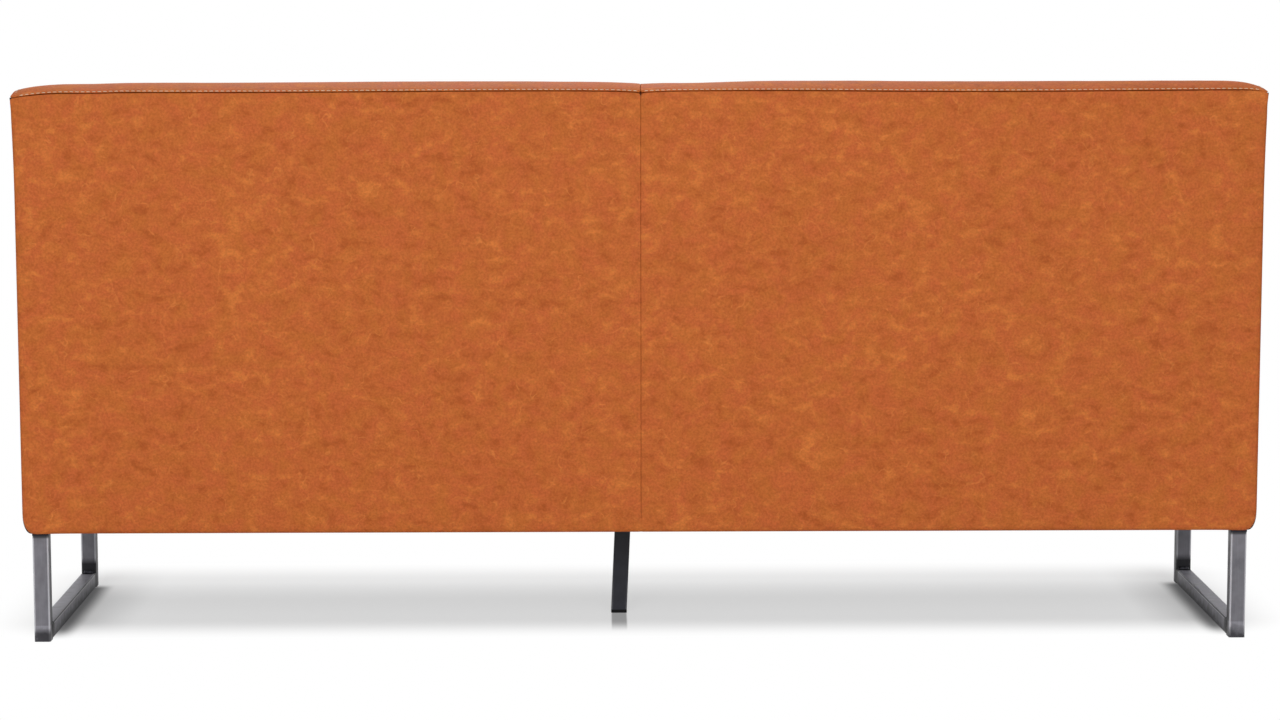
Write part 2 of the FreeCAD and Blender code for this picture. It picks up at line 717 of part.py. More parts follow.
def stations(length):
    """Places along a cushion half where its sections stand."""
    return [length * index / SECTIONS_PER_HALF for index in range(SECTIONS_PER_HALF + 1)]


def polar(middle, radius, angle):
    """A point in Y and Z on a circle, its angle measured from straight up towards -Y."""
    return (middle[0] - radius * math.sin(angle), middle[1] + radius * math.cos(angle))


def arc(x, middle, radius, start, end):
    """A circular edge in the plane at x between two angles."""
    points = [polar(middle, radius, start + share * (end - start)) for share in (0, 0.5, 1)]
    return Part.Arc(*[V(x, y, z) for y, z in points]).toShape()


def line(x, start, end):
    """A straight edge in the plane at x."""
    return Part.makeLine(V(x, *start), V(x, *end))


def back_edges(x, drawn, inset, rear_y):
    """Crown, front round and front face of the back at x, from its rear top down to the deck.

    The crown is an arc on the chord next to the top seam, and the front round is tangent to it and to the
    raked front face. Inset moves all three inwards.
    """
    half_chord = value("crown_chord") / 2
    rise = value("back_crown") - drawn
    crown_radius = (half_chord ** 2 + rise ** 2) / (2 * rise)
    crown_middle = (value("rear") - half_chord, value("seam_height") + rise - crown_radius)
    bend = math.asin(half_chord / crown_radius)
    rake = math.atan(value("back_slope"))
    upright = math.pi / 2 - rake
    front_top = value("rear - back_head") + drawn
    room = value("rear - crown_chord") - front_top
    turn_y = math.sin(upright) - math.sin(bend)
    turn_z = math.cos(bend) - math.cos(upright)
    round_radius = room / (turn_y - value("back_slope") * turn_z)
    top = polar(crown_middle, crown_radius, bend)
    round_middle = polar(top, -round_radius, bend)
    start = -math.asin((rear_y - crown_middle[0]) / (crown_radius - inset))
    crown = arc(x, crown_middle, crown_radius - inset, start, bend)
    front_round = arc(x, round_middle, round_radius - inset, bend, upright)
    face_top = polar(round_middle, round_radius - inset, upright)
    drop = face_top[1] - value("deck")
    face = line(x, face_top, (face_top[0] - value("back_slope") * drop, value("deck")))
    return [crown, front_round, face]


def seat_edges(x, drawn, inset):
    """Top, front round and front face of the seat at x, from the back down to the deck."""
    half_chord = value("body_depth") / 2 - value("back_foot") / 2
    rise = value("seat_crown")
    top_radius = (half_chord ** 2 + rise ** 2) / (2 * rise)
    top_middle = (value("front") + half_chord, value("seat_height") - drawn - top_radius)
    edge = value("seat_edge")
    front = value("front") + drawn / 2
    across = front + edge - top_middle[0]
    up = math.sqrt((top_radius - edge) ** 2 - across ** 2)
    edge_middle = (front + edge, top_middle[1] + up)
    bend = math.atan2(-across, up)
    rear_end = meet_back(top_middle, top_radius - inset)
    start = math.atan2(top_middle[0] - rear_end[0], rear_end[1] - top_middle[1])
    top = arc(x, top_middle, top_radius - inset, start, bend)
    front_round = arc(x, edge_middle, edge - inset, bend, math.pi / 2)
    face = line(x, (front + inset, edge_middle[1]), (front + inset, value("deck")))
    return [top, front_round, face]


def back_plane(z):
    """Y of the plane that the rear of the seat lies against at a height."""
    foot = value("rear - back_foot - seat_gap")
    return foot + value("back_slope") * (z - value("deck"))


def meet_back(middle, radius):
    """Where a circle over the seat meets the back plane, on its upper side."""
    slope = value("back_slope")
    offset = back_plane(middle[1]) - middle[0]
    a = 1 + slope ** 2
    b = slope * offset
    up = (-b + math.sqrt(b ** 2 - a * (offset ** 2 - radius ** 2))) / a
    return (middle[0] + offset + slope * up, middle[1] + up)


def ends_of(edges):
    """First and last point of a run of edges that each start where the one before ends."""
    return edges[0].Vertexes[0].Point, edges[-1].Vertexes[-1].Point


def skin_section(outer, inner):
    """A closed thin section between an outer and an inner run of edges."""
    outer_start, outer_end = ends_of(outer)
    inner_start, inner_end = ends_of(inner)
    closing = [Part.makeLine(outer_end, inner_end), Part.makeLine(inner_start, outer_start)]
    return Part.Wire(Part.__sortEdges__(outer + inner + closing))


def closed_section(x, edges, corners):
    """A closed section from a run of edges and the corners that lead back to its start."""
    first, last = ends_of(edges)
    points = [last, *(V(x, y, z) for y, z in corners), first]
    closing = [Part.makeLine(a, b) for a, b in zip(points, points[1:])]
    return Part.Wire(Part.__sortEdges__(edges + closing))


def lofted(label, sections, sign):
    """A solid through the sections of one half, mirrored for the right half."""
    shape = Part.makeLoft(sections, True, False)
    if sign < 0:
        shape = shape.mirror(V(0, 0, 0), V(1, 0, 0))
    feature = doc.addObject("Part::Feature", label)
    feature.Shape = shape
    return keep(feature, label)


def slab(label, section, thickness):
    """A flat piece with a section in Y and Z as its outline."""
    feature = doc.addObject("Part::Feature", label)
    feature.Shape = Part.Face(section).extrude(V(thickness, 0, 0))
    return keep(feature, label)


def make_back_cushion(side, sign):
    """Foam over the front and top of the back and the cover drawn over it, for one half."""
    cover = value("cover")
    foam_inset = value("cover + ease")
    skin_length = value("side_skin")
    web = value("webbing")
    inner = [(value("post_foot") - web, value("deck")),
             (value("post_head") - web, value("top_rail_base")),
             (value("post_head") - web, value("top_rail_top")),
             (value("rear_face"), value("top_rail_top"))]
    foam = [closed_section(x, back_edges(x, draw(x, skin_length), foam_inset, value("rear_face")), inner)
            for x in [*stations(skin_length)[:-1], value("side_face")]]
    lofted(f"back_foam_{side}", foam, sign)
    skin = [skin_section(back_edges(x, draw(x, skin_length), 0, value("rear")),
                         back_edges(x, draw(x, skin_length), cover, value("rear")))
            for x in stations(skin_length)]
    lofted(f"inside_back_cover_{side}", skin, sign)


def make_seat_cushion(side, sign):
    """Foam on the deck, the cover drawn over its top and front, and the flat end cover, for one half."""
    cover = value("cover")
    length = value("side_skin")
    foot = [(back_plane(value("deck")), value("deck"))]
    foam = [closed_section(x, seat_edges(x, draw(x, length), value("cover + ease")), foot)
            for x in stations(length)]
    lofted(f"seat_foam_{side}", foam, sign)
    skin = [skin_section(seat_edges(x, draw(x, length), 0), seat_edges(x, draw(x, length), cover))
            for x in stations(length)]
    lofted(f"seat_cover_{side}", skin, sign)
    at = sign * length
    end = closed_section(at, seat_edges(at, draw(length, length), 0), foot)
    slab(f"seat_end_cover_{side}", end, sign * cover)


def side_outline(x, inset, low):
    """Outline of a side: the seat box and the end of the back in one piece."""
    end = draw(value("side_skin"), value("side_skin"))
    rear_y = value("rear_skin")
    front_y = value("front") + inset
    corners = [(front_y, value("deck")), (front_y, low), (rear_y, low)]
    return closed_section(x, back_edges(x, end, inset, rear_y), corners)


def make_sides(side, sign):
    """Thin padding and cover over one side of the bench."""
    padding_at = sign * value("side_face")
    cover_at = sign * value("side_skin")
    slab(f"side_padding_{side}", side_outline(padding_at, value("cover + ease"), value("frame_base")),
         sign * value("padding"))
    slab(f"side_cover_{side}", side_outline(cover_at, 0, value("leg_height")), sign * value("cover"))


def make_flat_covers():
    """Front border, outside back and their thin padding, and the dust sheet below."""
    keep(board("front_padding", ("-side_face", "side_face"), ("front_skin", "front_face"),
               ("frame_base", "deck")), "front_padding")
    keep(board("outside_back_padding", ("-side_face", "side_face"), ("rear_face + liner", "rear_skin"),
               ("frame_base", "cover_top")), "outside_back_padding")
    for side, sign in SIDES:
        keep(board(f"front_border_{side}", span(sign, "0", "side_skin"), ("front", "front_skin"),
                   ("leg_height", "deck")), f"front_border_{side}")
        keep(board(f"outside_back_cover_{side}", span(sign, "0", "half_width"), ("rear_skin", "rear"),
                   ("leg_height", "cover_top")), f"outside_back_cover_{side}")
    plain = board("dust_sheet_blank", ("-side_face", "side_face"), ("front_face", "rear_face"),
                  ("leg_height", "frame_base"))
    holes = [rod(f"dust_{side}_hole_{index}", signed(sign, "sled_middle"), y,
                 "leg_height", "leg_screw", "dust_sheet")
             for side, sign in SIDES for index, y in enumerate(coach_screw_places())]
    holes += [rod(f"dust_plate_hole_{index}", x, y, "leg_height", "wood_screw", "dust_sheet")
              for index, (x, y) in enumerate(plate_screw_places())]
    keep(drilled("dust_sheet", plain, holes), "dust_sheet")


def make_bench():
    """All sub-parts, from the floor up."""
    for side, sign in SIDES:
        make_sled(side, sign)
    make_welds()
    make_glides()
    make_coach_screws()
    make_centre_leg()
    make_centre_leg_screws()
    make_seat_box()
    make_rail_screws()
    make_posts()
    make_back_rails()
    make_post_bolts()
    make_webbing()
    make_back_liner()
    make_springs()
    make_felt()
    for side, sign in SIDES:
        make_back_cushion(side, sign)
        make_seat_cushion(side, sign)
        make_sides(side, sign)
    make_flat_covers()


def check_and_write():
    """Stops on any object that failed, then writes one file per sub-part."""
    doc.recompute()
    for thing in doc.Objects:
        if "Invalid" in thing.State or "Error" in thing.State:
            raise RuntimeError(f"{thing.Label} did not compute")
    os.makedirs("parts", exist_ok=True)
    for part in parts:
        if part.Shape.isNull() or not part.Shape.isValid():
            raise RuntimeError(f"{part.Label} has no valid shape")
        part.Shape.exportStep(f"parts/{part.Label}.step")


sizes_sheet = make_sheets()
make_bench()
check_and_write()
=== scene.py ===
"""Upholstered kitchen bench: covers, cushions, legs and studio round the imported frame.

Metres. +X runs along the bench, -Y is the side people sit on, +Z is up.
"""

import math

import bmesh
import bpy
import numpy as np
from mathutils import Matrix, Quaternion, Vector, bvhtree, noise


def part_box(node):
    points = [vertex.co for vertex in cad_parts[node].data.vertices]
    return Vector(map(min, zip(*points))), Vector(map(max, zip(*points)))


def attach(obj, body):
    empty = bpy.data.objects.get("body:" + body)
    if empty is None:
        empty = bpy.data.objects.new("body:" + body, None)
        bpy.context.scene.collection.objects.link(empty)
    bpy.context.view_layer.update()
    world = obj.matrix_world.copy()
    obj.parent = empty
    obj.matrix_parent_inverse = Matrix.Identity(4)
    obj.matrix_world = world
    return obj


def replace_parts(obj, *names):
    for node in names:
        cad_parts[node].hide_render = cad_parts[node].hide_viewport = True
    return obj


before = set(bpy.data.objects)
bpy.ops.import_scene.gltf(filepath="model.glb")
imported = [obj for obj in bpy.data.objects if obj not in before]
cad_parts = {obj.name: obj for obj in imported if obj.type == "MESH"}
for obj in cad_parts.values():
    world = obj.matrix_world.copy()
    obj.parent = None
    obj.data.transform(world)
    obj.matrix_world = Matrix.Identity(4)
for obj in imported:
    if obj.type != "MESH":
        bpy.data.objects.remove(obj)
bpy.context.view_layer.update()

bl_info = {
    "name": "Upholstered kitchen bench",
    "version": (1, 0, 0),
    "blender": (4, 5, 0),
    "location": "3D View > Sidebar > Bench",
    "description": "Covers, cushions, legs and studio of an upholstered kitchen bench",
    "category": "Object",
}

MM = 0.001
SIDES = (("left", 1), ("right", -1))

# Places read from the frame
HALF_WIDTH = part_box("side_cover_left")[1].x
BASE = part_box("side_cover_left")[0].z
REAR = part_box("outside_back_cover_left")[1].y
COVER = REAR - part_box("outside_back_cover_left")[0].y
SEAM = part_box("outside_back_cover_left")[1].z + 2 * COVER
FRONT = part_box("front_border_left")[0].y
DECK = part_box("front_border_left")[1].z
BACK_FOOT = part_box("inside_back_cover_left")[0].y
BACK_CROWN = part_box("inside_back_cover_left")[1].z - SEAM
SEAT_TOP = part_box("seat_cover_left")[1].z
RAIL_LOW, RAIL_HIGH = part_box("back_top_rail")
POST_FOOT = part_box("back_left_post")[0].y
TUBE_LOW, TUBE_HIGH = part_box("left_sled_floor_rail")
STRIP_LOW, STRIP_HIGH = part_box("left_sled_mount_strip")
PLATE_LOW, PLATE_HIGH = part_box("centre_leg_plate")
FOOT_LOW, FOOT_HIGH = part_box("centre_leg_foot")
SHEET_LOW, SHEET_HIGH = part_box("dust_sheet")
FELT_LOW, FELT_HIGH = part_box("seat_felt")

# Forms of the cushions and legs, as in the frame's source
BACK_HEAD = 108 * MM
CROWN_CHORD = 80 * MM
SEAT_RISE = 14 * MM
SEAT_EDGE = 36 * MM
DRAW_REACH = 90 * MM
SEAM_DRAW = 3 * MM
END_DRAW = 8 * MM
SEAT_GAP = 1 * MM
TUBE_CORNER = 3 * MM
WELD_LEG = 4 * MM
BACK_SLOPE = (REAR - BACK_HEAD - BACK_FOOT) / (SEAM - DECK)

# Where the top band turns into the rear top seam, and the underside of the dust sheet
CROWN_START = REAR - 1.5 * MM
SHEET_UNDER = BASE - 0.1 * MM


def linear(code):
    """Linear colour of an sRGB hex value."""
    shares = [int(code[k:k + 2], 16) / 255 for k in (1, 3, 5)]
    return tuple(s / 12.92 if s <= 0.04045 else ((s + 0.055) / 1.055) ** 2.4 for s in shares) + (1.0,)


def length(name, description, default):
    """A length property in metres."""
    return bpy.props.FloatProperty(name=name, description=description, default=default, min=0.0,
                                   unit="LENGTH")


def colour(name, description, code):
    """A colour property from an sRGB hex value."""
    return bpy.props.FloatVectorProperty(name=name, description=description, default=linear(code),
                                         size=4, min=0.0, max=1.0, subtype="COLOR")


class BenchSizes(bpy.types.PropertyGroup):
    """Sizes of the covers, seams and stitches."""

    edge_round: length("Edge round", "Round of the flat covers at the edges of the body", 8 * MM)
    corner_round: length("Corner round", "Width of the round lower corners, seen from behind", 17 * MM)
    corner_height: length("Corner height", "Height of the round lower corners, seen from behind", 32 * MM)
    end_round: length("End round", "Round of the cushions at their ends", 3 * MM)
    seam_round: length("Seam round", "Round of a cover where it turns into a seam", 1.4 * MM)
    seam_gap: length("Seam gap", "Gap between two covers at a seam", 0.9 * MM)
    seam_depth: length("Seam depth", "How far a cover turns in at a seam", 8 * MM)
    centre_round: length("Centre round", "Round of a cover at a centre seam", 0.9 * MM)
    centre_gap: length("Centre gap", "Gap between the two halves at a centre seam", 0.2 * MM)
    top_gap: length("Top gap", "Open groove of the rear top seam", 1.8 * MM)
    nose: length("Nose", "Round of the top band where it turns into the rear top seam", 1.2 * MM)
    edge_swell: length("Edge swell", "How far the flat covers stand out at the side edges", 1.8 * MM)
    edge_sag: length("Edge sag", "How far the flat covers hang below the frame", 1.4 * MM)
    top_flare: length("Top flare", "How far the top corners stand out sideways", 3.6 * MM)
    mesh_step: length("Mesh step", "Spacing of the cover meshes", 11 * MM)
    seat_swell: length("Seat swell", "Most that the seat cushions swell", 9 * MM)
    back_swell: length("Back swell", "Most that the back cushions swell", 7 * MM)
    stitch: length("Stitch", "Length of a stitch", 5.6 * MM)
    stitch_pitch: length("Stitch pitch", "Distance between two stitches", 8 * MM)
    thread: length("Thread", "Thickness of the topstitch thread", 1.1 * MM)


class BenchColours(bpy.types.PropertyGroup):
    """Colours of the covers and legs."""

    leather_ruddy: colour("Leather ruddy", "Redder patches of the covers", "#BA6033")
    leather_gold: colour("Leather gold", "Yellower patches of the covers", "#B6642F")
    leather_dark: colour("Leather dark", "Dark cloudy patches of the covers", "#A75428")
    leather_light: colour("Leather light", "Light cloudy patches of the covers", "#C77238")
    leather_vein: colour("Leather vein", "Short light veins of the covers", "#D68342")
    thread: colour("Thread", "Topstitch thread", "#DCC3A4")
    gunmetal: colour("Gunmetal", "Lacquered steel of the sled legs", "#717076")
    black: colour("Black", "Black lacquer of the centre leg", "#17171A")
    floor: colour("Floor", "Studio floor", "#F2F2F2")


def sizes():
    """The scene's sizes."""
    return bpy.context.scene.bench_sizes


def colours():
    """The scene's colours."""
    return bpy.context.scene.bench_colours


# Nodes

MADE = {}


def finish(builder):
    """The material of a builder, made once."""
    if builder not in MADE:
        MADE[builder] = builder()
    return MADE[builder]


def started(name):
    """A new material, its nodes and its shader, the shader linked to the output."""
    material = bpy.data.materials.new(name)
    material.use_nodes = True
    tree = material.node_tree
    return material, tree, tree.nodes["Principled BSDF"]


def fill(tree, node, inputs):
    """Fills or links the inputs of a node."""
    for key, content in inputs.items():
        if isinstance(content, bpy.types.NodeSocket):
            tree.links.new(content, node.inputs[key])
        else:
            node.inputs[key].default_value = content


def add(tree, kind, inputs=None, **settings):
    """Adds a node with its settings and fills or links its inputs."""
    node = tree.nodes.new(kind)
    for key, setting in settings.items():
        setattr(node, key, setting)
    fill(tree, node, inputs or {})
    return node


def shade(tree, shader, **inputs):
    """Fills or links the shader's inputs, named with underscores for spaces."""
    fill(tree, shader, {key.replace("_", " "): content for key, content in inputs.items()})


def on_object(tree, output="Object"):
    """The place on the object, or the direction that the surface faces."""
    return add(tree, "ShaderNodeTexCoord").outputs[output]


def axes(tree, content):
    """The X, Y and Z of a vector."""
    return add(tree, "ShaderNodeSeparateXYZ", {0: content}).outputs


def figure(tree, operation, *values, **settings):
    """The result of an operation on numbers."""
    return add(tree, "ShaderNodeMath", dict(enumerate(values)), operation=operation, **settings).outputs[0]


def vector(tree, operation, *values):
    """The result of an operation on vectors, a number for a length or a dot product."""
    node = add(tree, "ShaderNodeVectorMath", dict(enumerate(values)), operation=operation)
    return node.outputs["Value" if operation in ("LENGTH", "DOT_PRODUCT") else "Vector"]


def scaled(tree, tone, share):
    """A colour made darker or lighter by a share."""
    return add(tree, "ShaderNodeVectorMath", {0: tone, 3: share}, operation="SCALE").outputs[0]


def ramp(tree, value, start, end, low=0.0, high=1.0, soft=False):
    """A value carried from one range to another and held at both ends, with soft ends if asked."""
    inputs = {"Value": value, "From Min": start, "From Max": end, "To Min": low, "To Max": high}
    curve = "SMOOTHSTEP" if soft else "LINEAR"
    return add(tree, "ShaderNodeMapRange", inputs, interpolation_type=curve).outputs[0]


def lumps(tree, place, size, detail, **more):
    """Noise from 0 to 1 with lumps of a size."""
    inputs = {"Vector": place, "Scale": 1 / size, "Detail": detail, **more}
    return add(tree, "ShaderNodeTexNoise", inputs).outputs["Fac"]


def blend(tree, share, first, second):
    """A colour between two colours, each a colour or an sRGB hex value."""
    first, second = (linear(tone) if isinstance(tone, str) else tone for tone in (first, second))
    return add(tree, "ShaderNodeMix", {0: share, 6: first, 7: second}, data_type="RGBA").outputs[2]


def bump(tree, height, strength, depth):
    """Relief from a height, with its strength and depth."""
    inputs = {"Height": height, "Strength": strength, "Distance": depth}
    return add(tree, "ShaderNodeBump", inputs).outputs[0]


def bands(tree, place, size, direction, **more):
    """Stripes from 0 to 1 across a direction."""
    inputs = {"Vector": place, "Scale": 1 / size, **more}
    return add(tree, "ShaderNodeTexWave", inputs, bands_direction=direction).outputs["Fac"]


def mottled(name, size, detail, dark, light, relief=None, grain=0.5, **inputs):
    """A material of two colours in lumps of a size, with the strength and depth of their relief."""
    material, tree, shader = started(name)
    patches = lumps(tree, on_object(tree), size, detail, Roughness=grain)
    if relief:
        inputs["Normal"] = bump(tree, patches, *relief)
    shade(tree, shader, Base_Color=blend(tree, patches, dark, light), **inputs)
    return material


# Materials

def leather():
    """Cognac leatherette: embossed and cloud-printed vinyl with a waxy half-matt skin.

    The eye reads soft dark and light clouds of 10 to 25 mm over redder and yellower patches, fine pale
    veins, and a fine pebble grain.
    """
    material, tree, shader = started("cognac_leatherette")
    tint = colours()
    place = on_object(tree)
    drift = add(tree, "ShaderNodeTexNoise", {"Vector": place, "Scale": 1 / (50 * MM), "Detail": 2.0})
    shift = vector(tree, "MULTIPLY", drift.outputs["Color"], (30 * MM, 30 * MM, 30 * MM))
    warped = vector(tree, "ADD", place, shift)
    longer = vector(tree, "MULTIPLY", warped, (0.6, 1.0, 1.0))
    cloud = lumps(tree, longer, 16 * MM, 4.0, Roughness=0.6)
    both = figure(tree, "MULTIPLY_ADD", lumps(tree, place, 160 * MM, 2.0), 0.2, cloud)
    golden = ramp(tree, lumps(tree, warped, 30 * MM, 4.0), 0.36, 0.64)
    tone = blend(tree, golden, tint.leather_ruddy, tint.leather_gold)
    tone = blend(tree, ramp(tree, both, 0.59, 0.37, 0.0, 0.88, soft=True), tone, tint.leather_dark)
    tone = blend(tree, ramp(tree, both, 0.61, 0.83, soft=True), tone, tint.leather_light)
    # Veins of about 1 mm, drawn a little wider so that they show, and broken into short runs
    level = figure(tree, "SUBTRACT", lumps(tree, warped, 40 * MM, 2.0), 0.5)
    line = ramp(tree, figure(tree, "ABSOLUTE", level), 0.016, 0.0)
    broken = ramp(tree, lumps(tree, place, 22 * MM, 1.0), 0.48, 0.7, 0.0, 0.5)
    tone = blend(tree, figure(tree, "MULTIPLY", line, broken), tone, tint.leather_vein)
    # Pebble grain of about 0.7 mm, drawn at 2 to 3 mm so that it shows
    speck = ramp(tree, lumps(tree, place, 3 * MM, 3.0), 0.3, 0.7, 0.86, 1.14)
    pebble = add(tree, "ShaderNodeTexVoronoi", {"Vector": warped, "Scale": 1 / (2 * MM)})
    relief = figure(tree, "MULTIPLY_ADD", cloud, 0.6, pebble.outputs["Distance"])
    shade(tree, shader, Base_Color=scaled(tree, tone, speck), IOR=1.5, Specular_IOR_Level=0.05,
          Roughness=ramp(tree, cloud, 0.3, 0.7, 0.58, 0.68), Normal=bump(tree, relief, 0.22, 0.6 * MM))
    return material


def seam_shade_tape():
    """Woven tape that closes the side seams from behind, matt; its almost black colour is painted shade for
    the dark gap of the seams.
    """
    material, tree, shader = started("dark_seam_tape")
    rib = bands(tree, on_object(tree), 4 * MM, "Z")
    # Almost black: painted shade for the dark gap of the seams
    shade(tree, shader, Base_Color=blend(tree, rib, "#17100C", "#241813"), Roughness=0.85, IOR=1.5)
    return material


def polyester_thread():
    """Bonded polyester topstitch thread: twisted, with a dull silky shine."""
    material, tree, shader = started("bonded_polyester_thread")
    # Twist of about 0.5 mm, drawn at about 1 mm so that it shows
    twist = bands(tree, on_object(tree), 1.5 * MM, "DIAGONAL", Distortion=1.0)
    tone = blend(tree, twist, scaled(tree, colours().thread[:3], 0.72), colours().thread)
    shade(tree, shader, Base_Color=tone, Roughness=0.6, IOR=1.55, Sheen_Weight=0.2)
    return material


def turned(tree):
    """How far the surface faces along each axis, and the sum of the three, which is greatest at corners."""
    facing = vector(tree, "ABSOLUTE", on_object(tree, "Normal"))
    return facing, vector(tree, "DOT_PRODUCT", facing, (1.0, 1.0, 1.0))


def weld_tint_and_shade_share(tree, place, cloud):
    """Share of darkened steel: weld tint by the floor rail's two joints, a jagged darker band at the foot of
    the uprights, and painted shadow at their top under the mounting strip.

    Also the share of the rail against the uprights.
    """
    spot = axes(tree, place)
    rail = ramp(tree, spot["Z"], TUBE_HIGH.z + 1 * MM, TUBE_HIGH.z)
    # Darker in a jagged band near the floor at the foot of the uprights
    jagged = figure(tree, "MULTIPLY_ADD", cloud, 30 * MM, spot["Z"])
    low = ramp(tree, jagged, 38 * MM, 24 * MM, 0.0, 0.85)
    # Painted shadow of the body and the mounting strip on the top of each upright
    high = ramp(tree, spot["Z"], STRIP_LOW.z - 5 * MM, STRIP_LOW.z - 2 * MM, 0.0, 0.85)
    weld_tint_and_shade = figure(tree, "MAXIMUM", high, low)
    for joint in (TUBE_LOW.y, TUBE_HIGH.y):
        away = vector(tree, "SUBTRACT", place, (0.0, joint, TUBE_HIGH.z))
        distance = vector(tree, "LENGTH", vector(tree, "MULTIPLY", away, (0.0, 1.0, 0.7)))
        apart = figure(tree, "ABSOLUTE", figure(tree, "SUBTRACT", spot["Y"], joint))
        line = figure(tree, "MULTIPLY", ramp(tree, apart, 15 * MM, 12 * MM), rail)
        near = ramp(tree, distance, 17 * MM, 10 * MM, 0.0, 0.95)
        weld_tint_and_shade = figure(tree, "MAXIMUM", weld_tint_and_shade, figure(tree, "MAXIMUM", near, line))
    return weld_tint_and_shade, rail


def gunmetal():
    """Mild steel tube under clear lacquer: grey mill skin with faint draw lines, dark round the welds, with
    painted light, shade and highlights on its faces and corners.
    """
    material, tree, shader = started("lacquered_gunmetal_steel")
    place = on_object(tree)
    cloud = lumps(tree, place, 18 * MM, 4.0)
    stretch = vector(tree, "MULTIPLY", place, (1 / (1.6 * MM), 1 / (1.6 * MM), 1 / (30 * MM)))
    mixed = figure(tree, "MULTIPLY_ADD", lumps(tree, stretch, 1.0, 2.0), 0.4, cloud)
    tone = scaled(tree, colours().gunmetal[:3], ramp(tree, mixed, 0.45, 0.95, 0.78, 1.18))
    weld_tint_and_shade, rail = weld_tint_and_shade_share(tree, place, cloud)
    # Painted light and shade: the inner and outer sides of the uprights darker, the floor rail lighter and
    # faces that look up lighter still; painted highlights on the rounded corners of the tube
    facing, corner = turned(tree)
    side = axes(tree, facing)
    painted_side_light_and_shade = ramp(tree, rail, 0.0, 1.0, ramp(tree, side["X"], 0.85, 1.0, 1.0, 0.5), 1.5)
    painted_top_light = ramp(tree, side["Z"], 0.85, 1.0, 1.0, 1.7)
    tone = scaled(tree, tone, figure(tree, "MULTIPLY", painted_side_light_and_shade, painted_top_light))
    # Painted highlights on the rounded corners
    tone = blend(tree, ramp(tree, corner, 1.08, 1.38, 0.0, 0.9), tone, "#C8C8CE")
    # Painted shade: a thin dark line along the long rounded edges of the floor rail
    painted_edge_shade = ramp(tree, figure(tree, "MULTIPLY", side["X"], side["Z"]), 0.36, 0.48, 0.0, 0.9)
    tone = blend(tree, figure(tree, "MAXIMUM", weld_tint_and_shade, painted_edge_shade), tone, "#17161A")
    shade(tree, shader, Base_Color=tone, Metallic=0.15, Roughness=ramp(tree, cloud, 0.3, 0.7, 0.4, 0.56),
          Normal=bump(tree, mixed, 0.08, 0.4 * MM), Specular_IOR_Level=0.2)
    return material


def black_lacquer():
    """Powder-coated black steel: a fine orange-peel skin with dust, painted shade darkening it towards the
    top, and painted highlights on its corners near the floor.
    """
    material, tree, shader = started("black_powder_coat")
    place = on_object(tree)
    # Orange peel of about 1 mm, drawn at 2 mm so that it shows
    peel = lumps(tree, place, 2 * MM, 1.0)
    # Painted shade: darker towards the top under the body, lighter towards the floor, mixed with lumps of
    # dust
    low = ramp(tree, axes(tree, place)["Z"], BASE, 0.0, -0.3, 0.3)
    dust_and_painted_shade = figure(tree, "ADD", lumps(tree, place, 20 * MM, 3.0), low)
    tone = blend(tree, dust_and_painted_shade, colours().black, "#32323A")
    # Painted highlights on the corners near the floor
    corner = ramp(tree, turned(tree)[1], 1.15, 1.38)
    tone = blend(tree, figure(tree, "MULTIPLY", corner, low, use_clamp=True), tone, "#A0A0A6")
    shade(tree, shader, Base_Color=tone, Roughness=0.38, IOR=1.5, Specular_IOR_Level=0.2,
          Normal=bump(tree, peel, 0.12, 0.3 * MM))
    return material


def dark_weld():
    """Weld bead: scaled steel, dark blue-grey with bright ripple tops under the lacquer."""
    return mottled("lacquered_weld_bead", 2.5 * MM, 3.0, "#0B0B0D", "#5A5A62", (0.4, 0.4 * MM),
                   Metallic=0.9, Roughness=0.28)


def strip_steel():
    """Hot-rolled flat bar: dark mill scale, matt, with rubbed lighter patches."""
    return mottled("dark_flat_bar_steel", 12 * MM, 5.0, "#1A1B21", "#2B2C34",
                   Metallic=0.3, Roughness=0.6, Specular_IOR_Level=0.2)


def black_plastic():
    """Moulded polyethylene of the glides and the foot: black, waxy, with a light mould grain."""
    return mottled("black_polyethylene", 1.5 * MM, 2.0, "#08080A", "#121214", (0.15, 0.3 * MM),
                   Roughness=0.5, IOR=1.51, Specular_IOR_Level=0.1)


def zinc_plate():
    """Zinc-plated steel of screws, bolts and clips: pale grey with a faint yellow-blue passivation."""
    return mottled("zinc_plated_steel", 6 * MM, 3.0, "#A9ADB2", "#C6C4B4", Metallic=1.0, Roughness=0.32)


def black_screw():
    """Phosphated black screw steel: dark grey, matt, oily."""
    return mottled("phosphated_screw_steel", 4 * MM, 3.0, "#18181A", "#303033", Metallic=0.8, Roughness=0.45)


def spring_wire():
    """Oil-tempered spring wire: blue-black drawn steel with a wet shine."""
    return mottled("oil_tempered_wire", 10 * MM, 3.0, "#26282C", "#43464C", Metallic=1.0, Roughness=0.3)


def hardboard():
    """Hardboard: pressed brown fibre with dark flecks, smooth and dull."""
    return mottled("pressed_hardboard", 3 * MM, 5.0, "#5B3D25", "#83603E", Roughness=0.65, IOR=1.5)


def needle_felt():
    """Needled wool-mix felt: grey, hairy, with light and dark recycled fibres."""
    return mottled("needled_felt", 4 * MM, 8.0, "#5E5C5A", "#9A9793", (0.5, 1 * MM), grain=0.75,
                   Roughness=0.95, IOR=1.5)


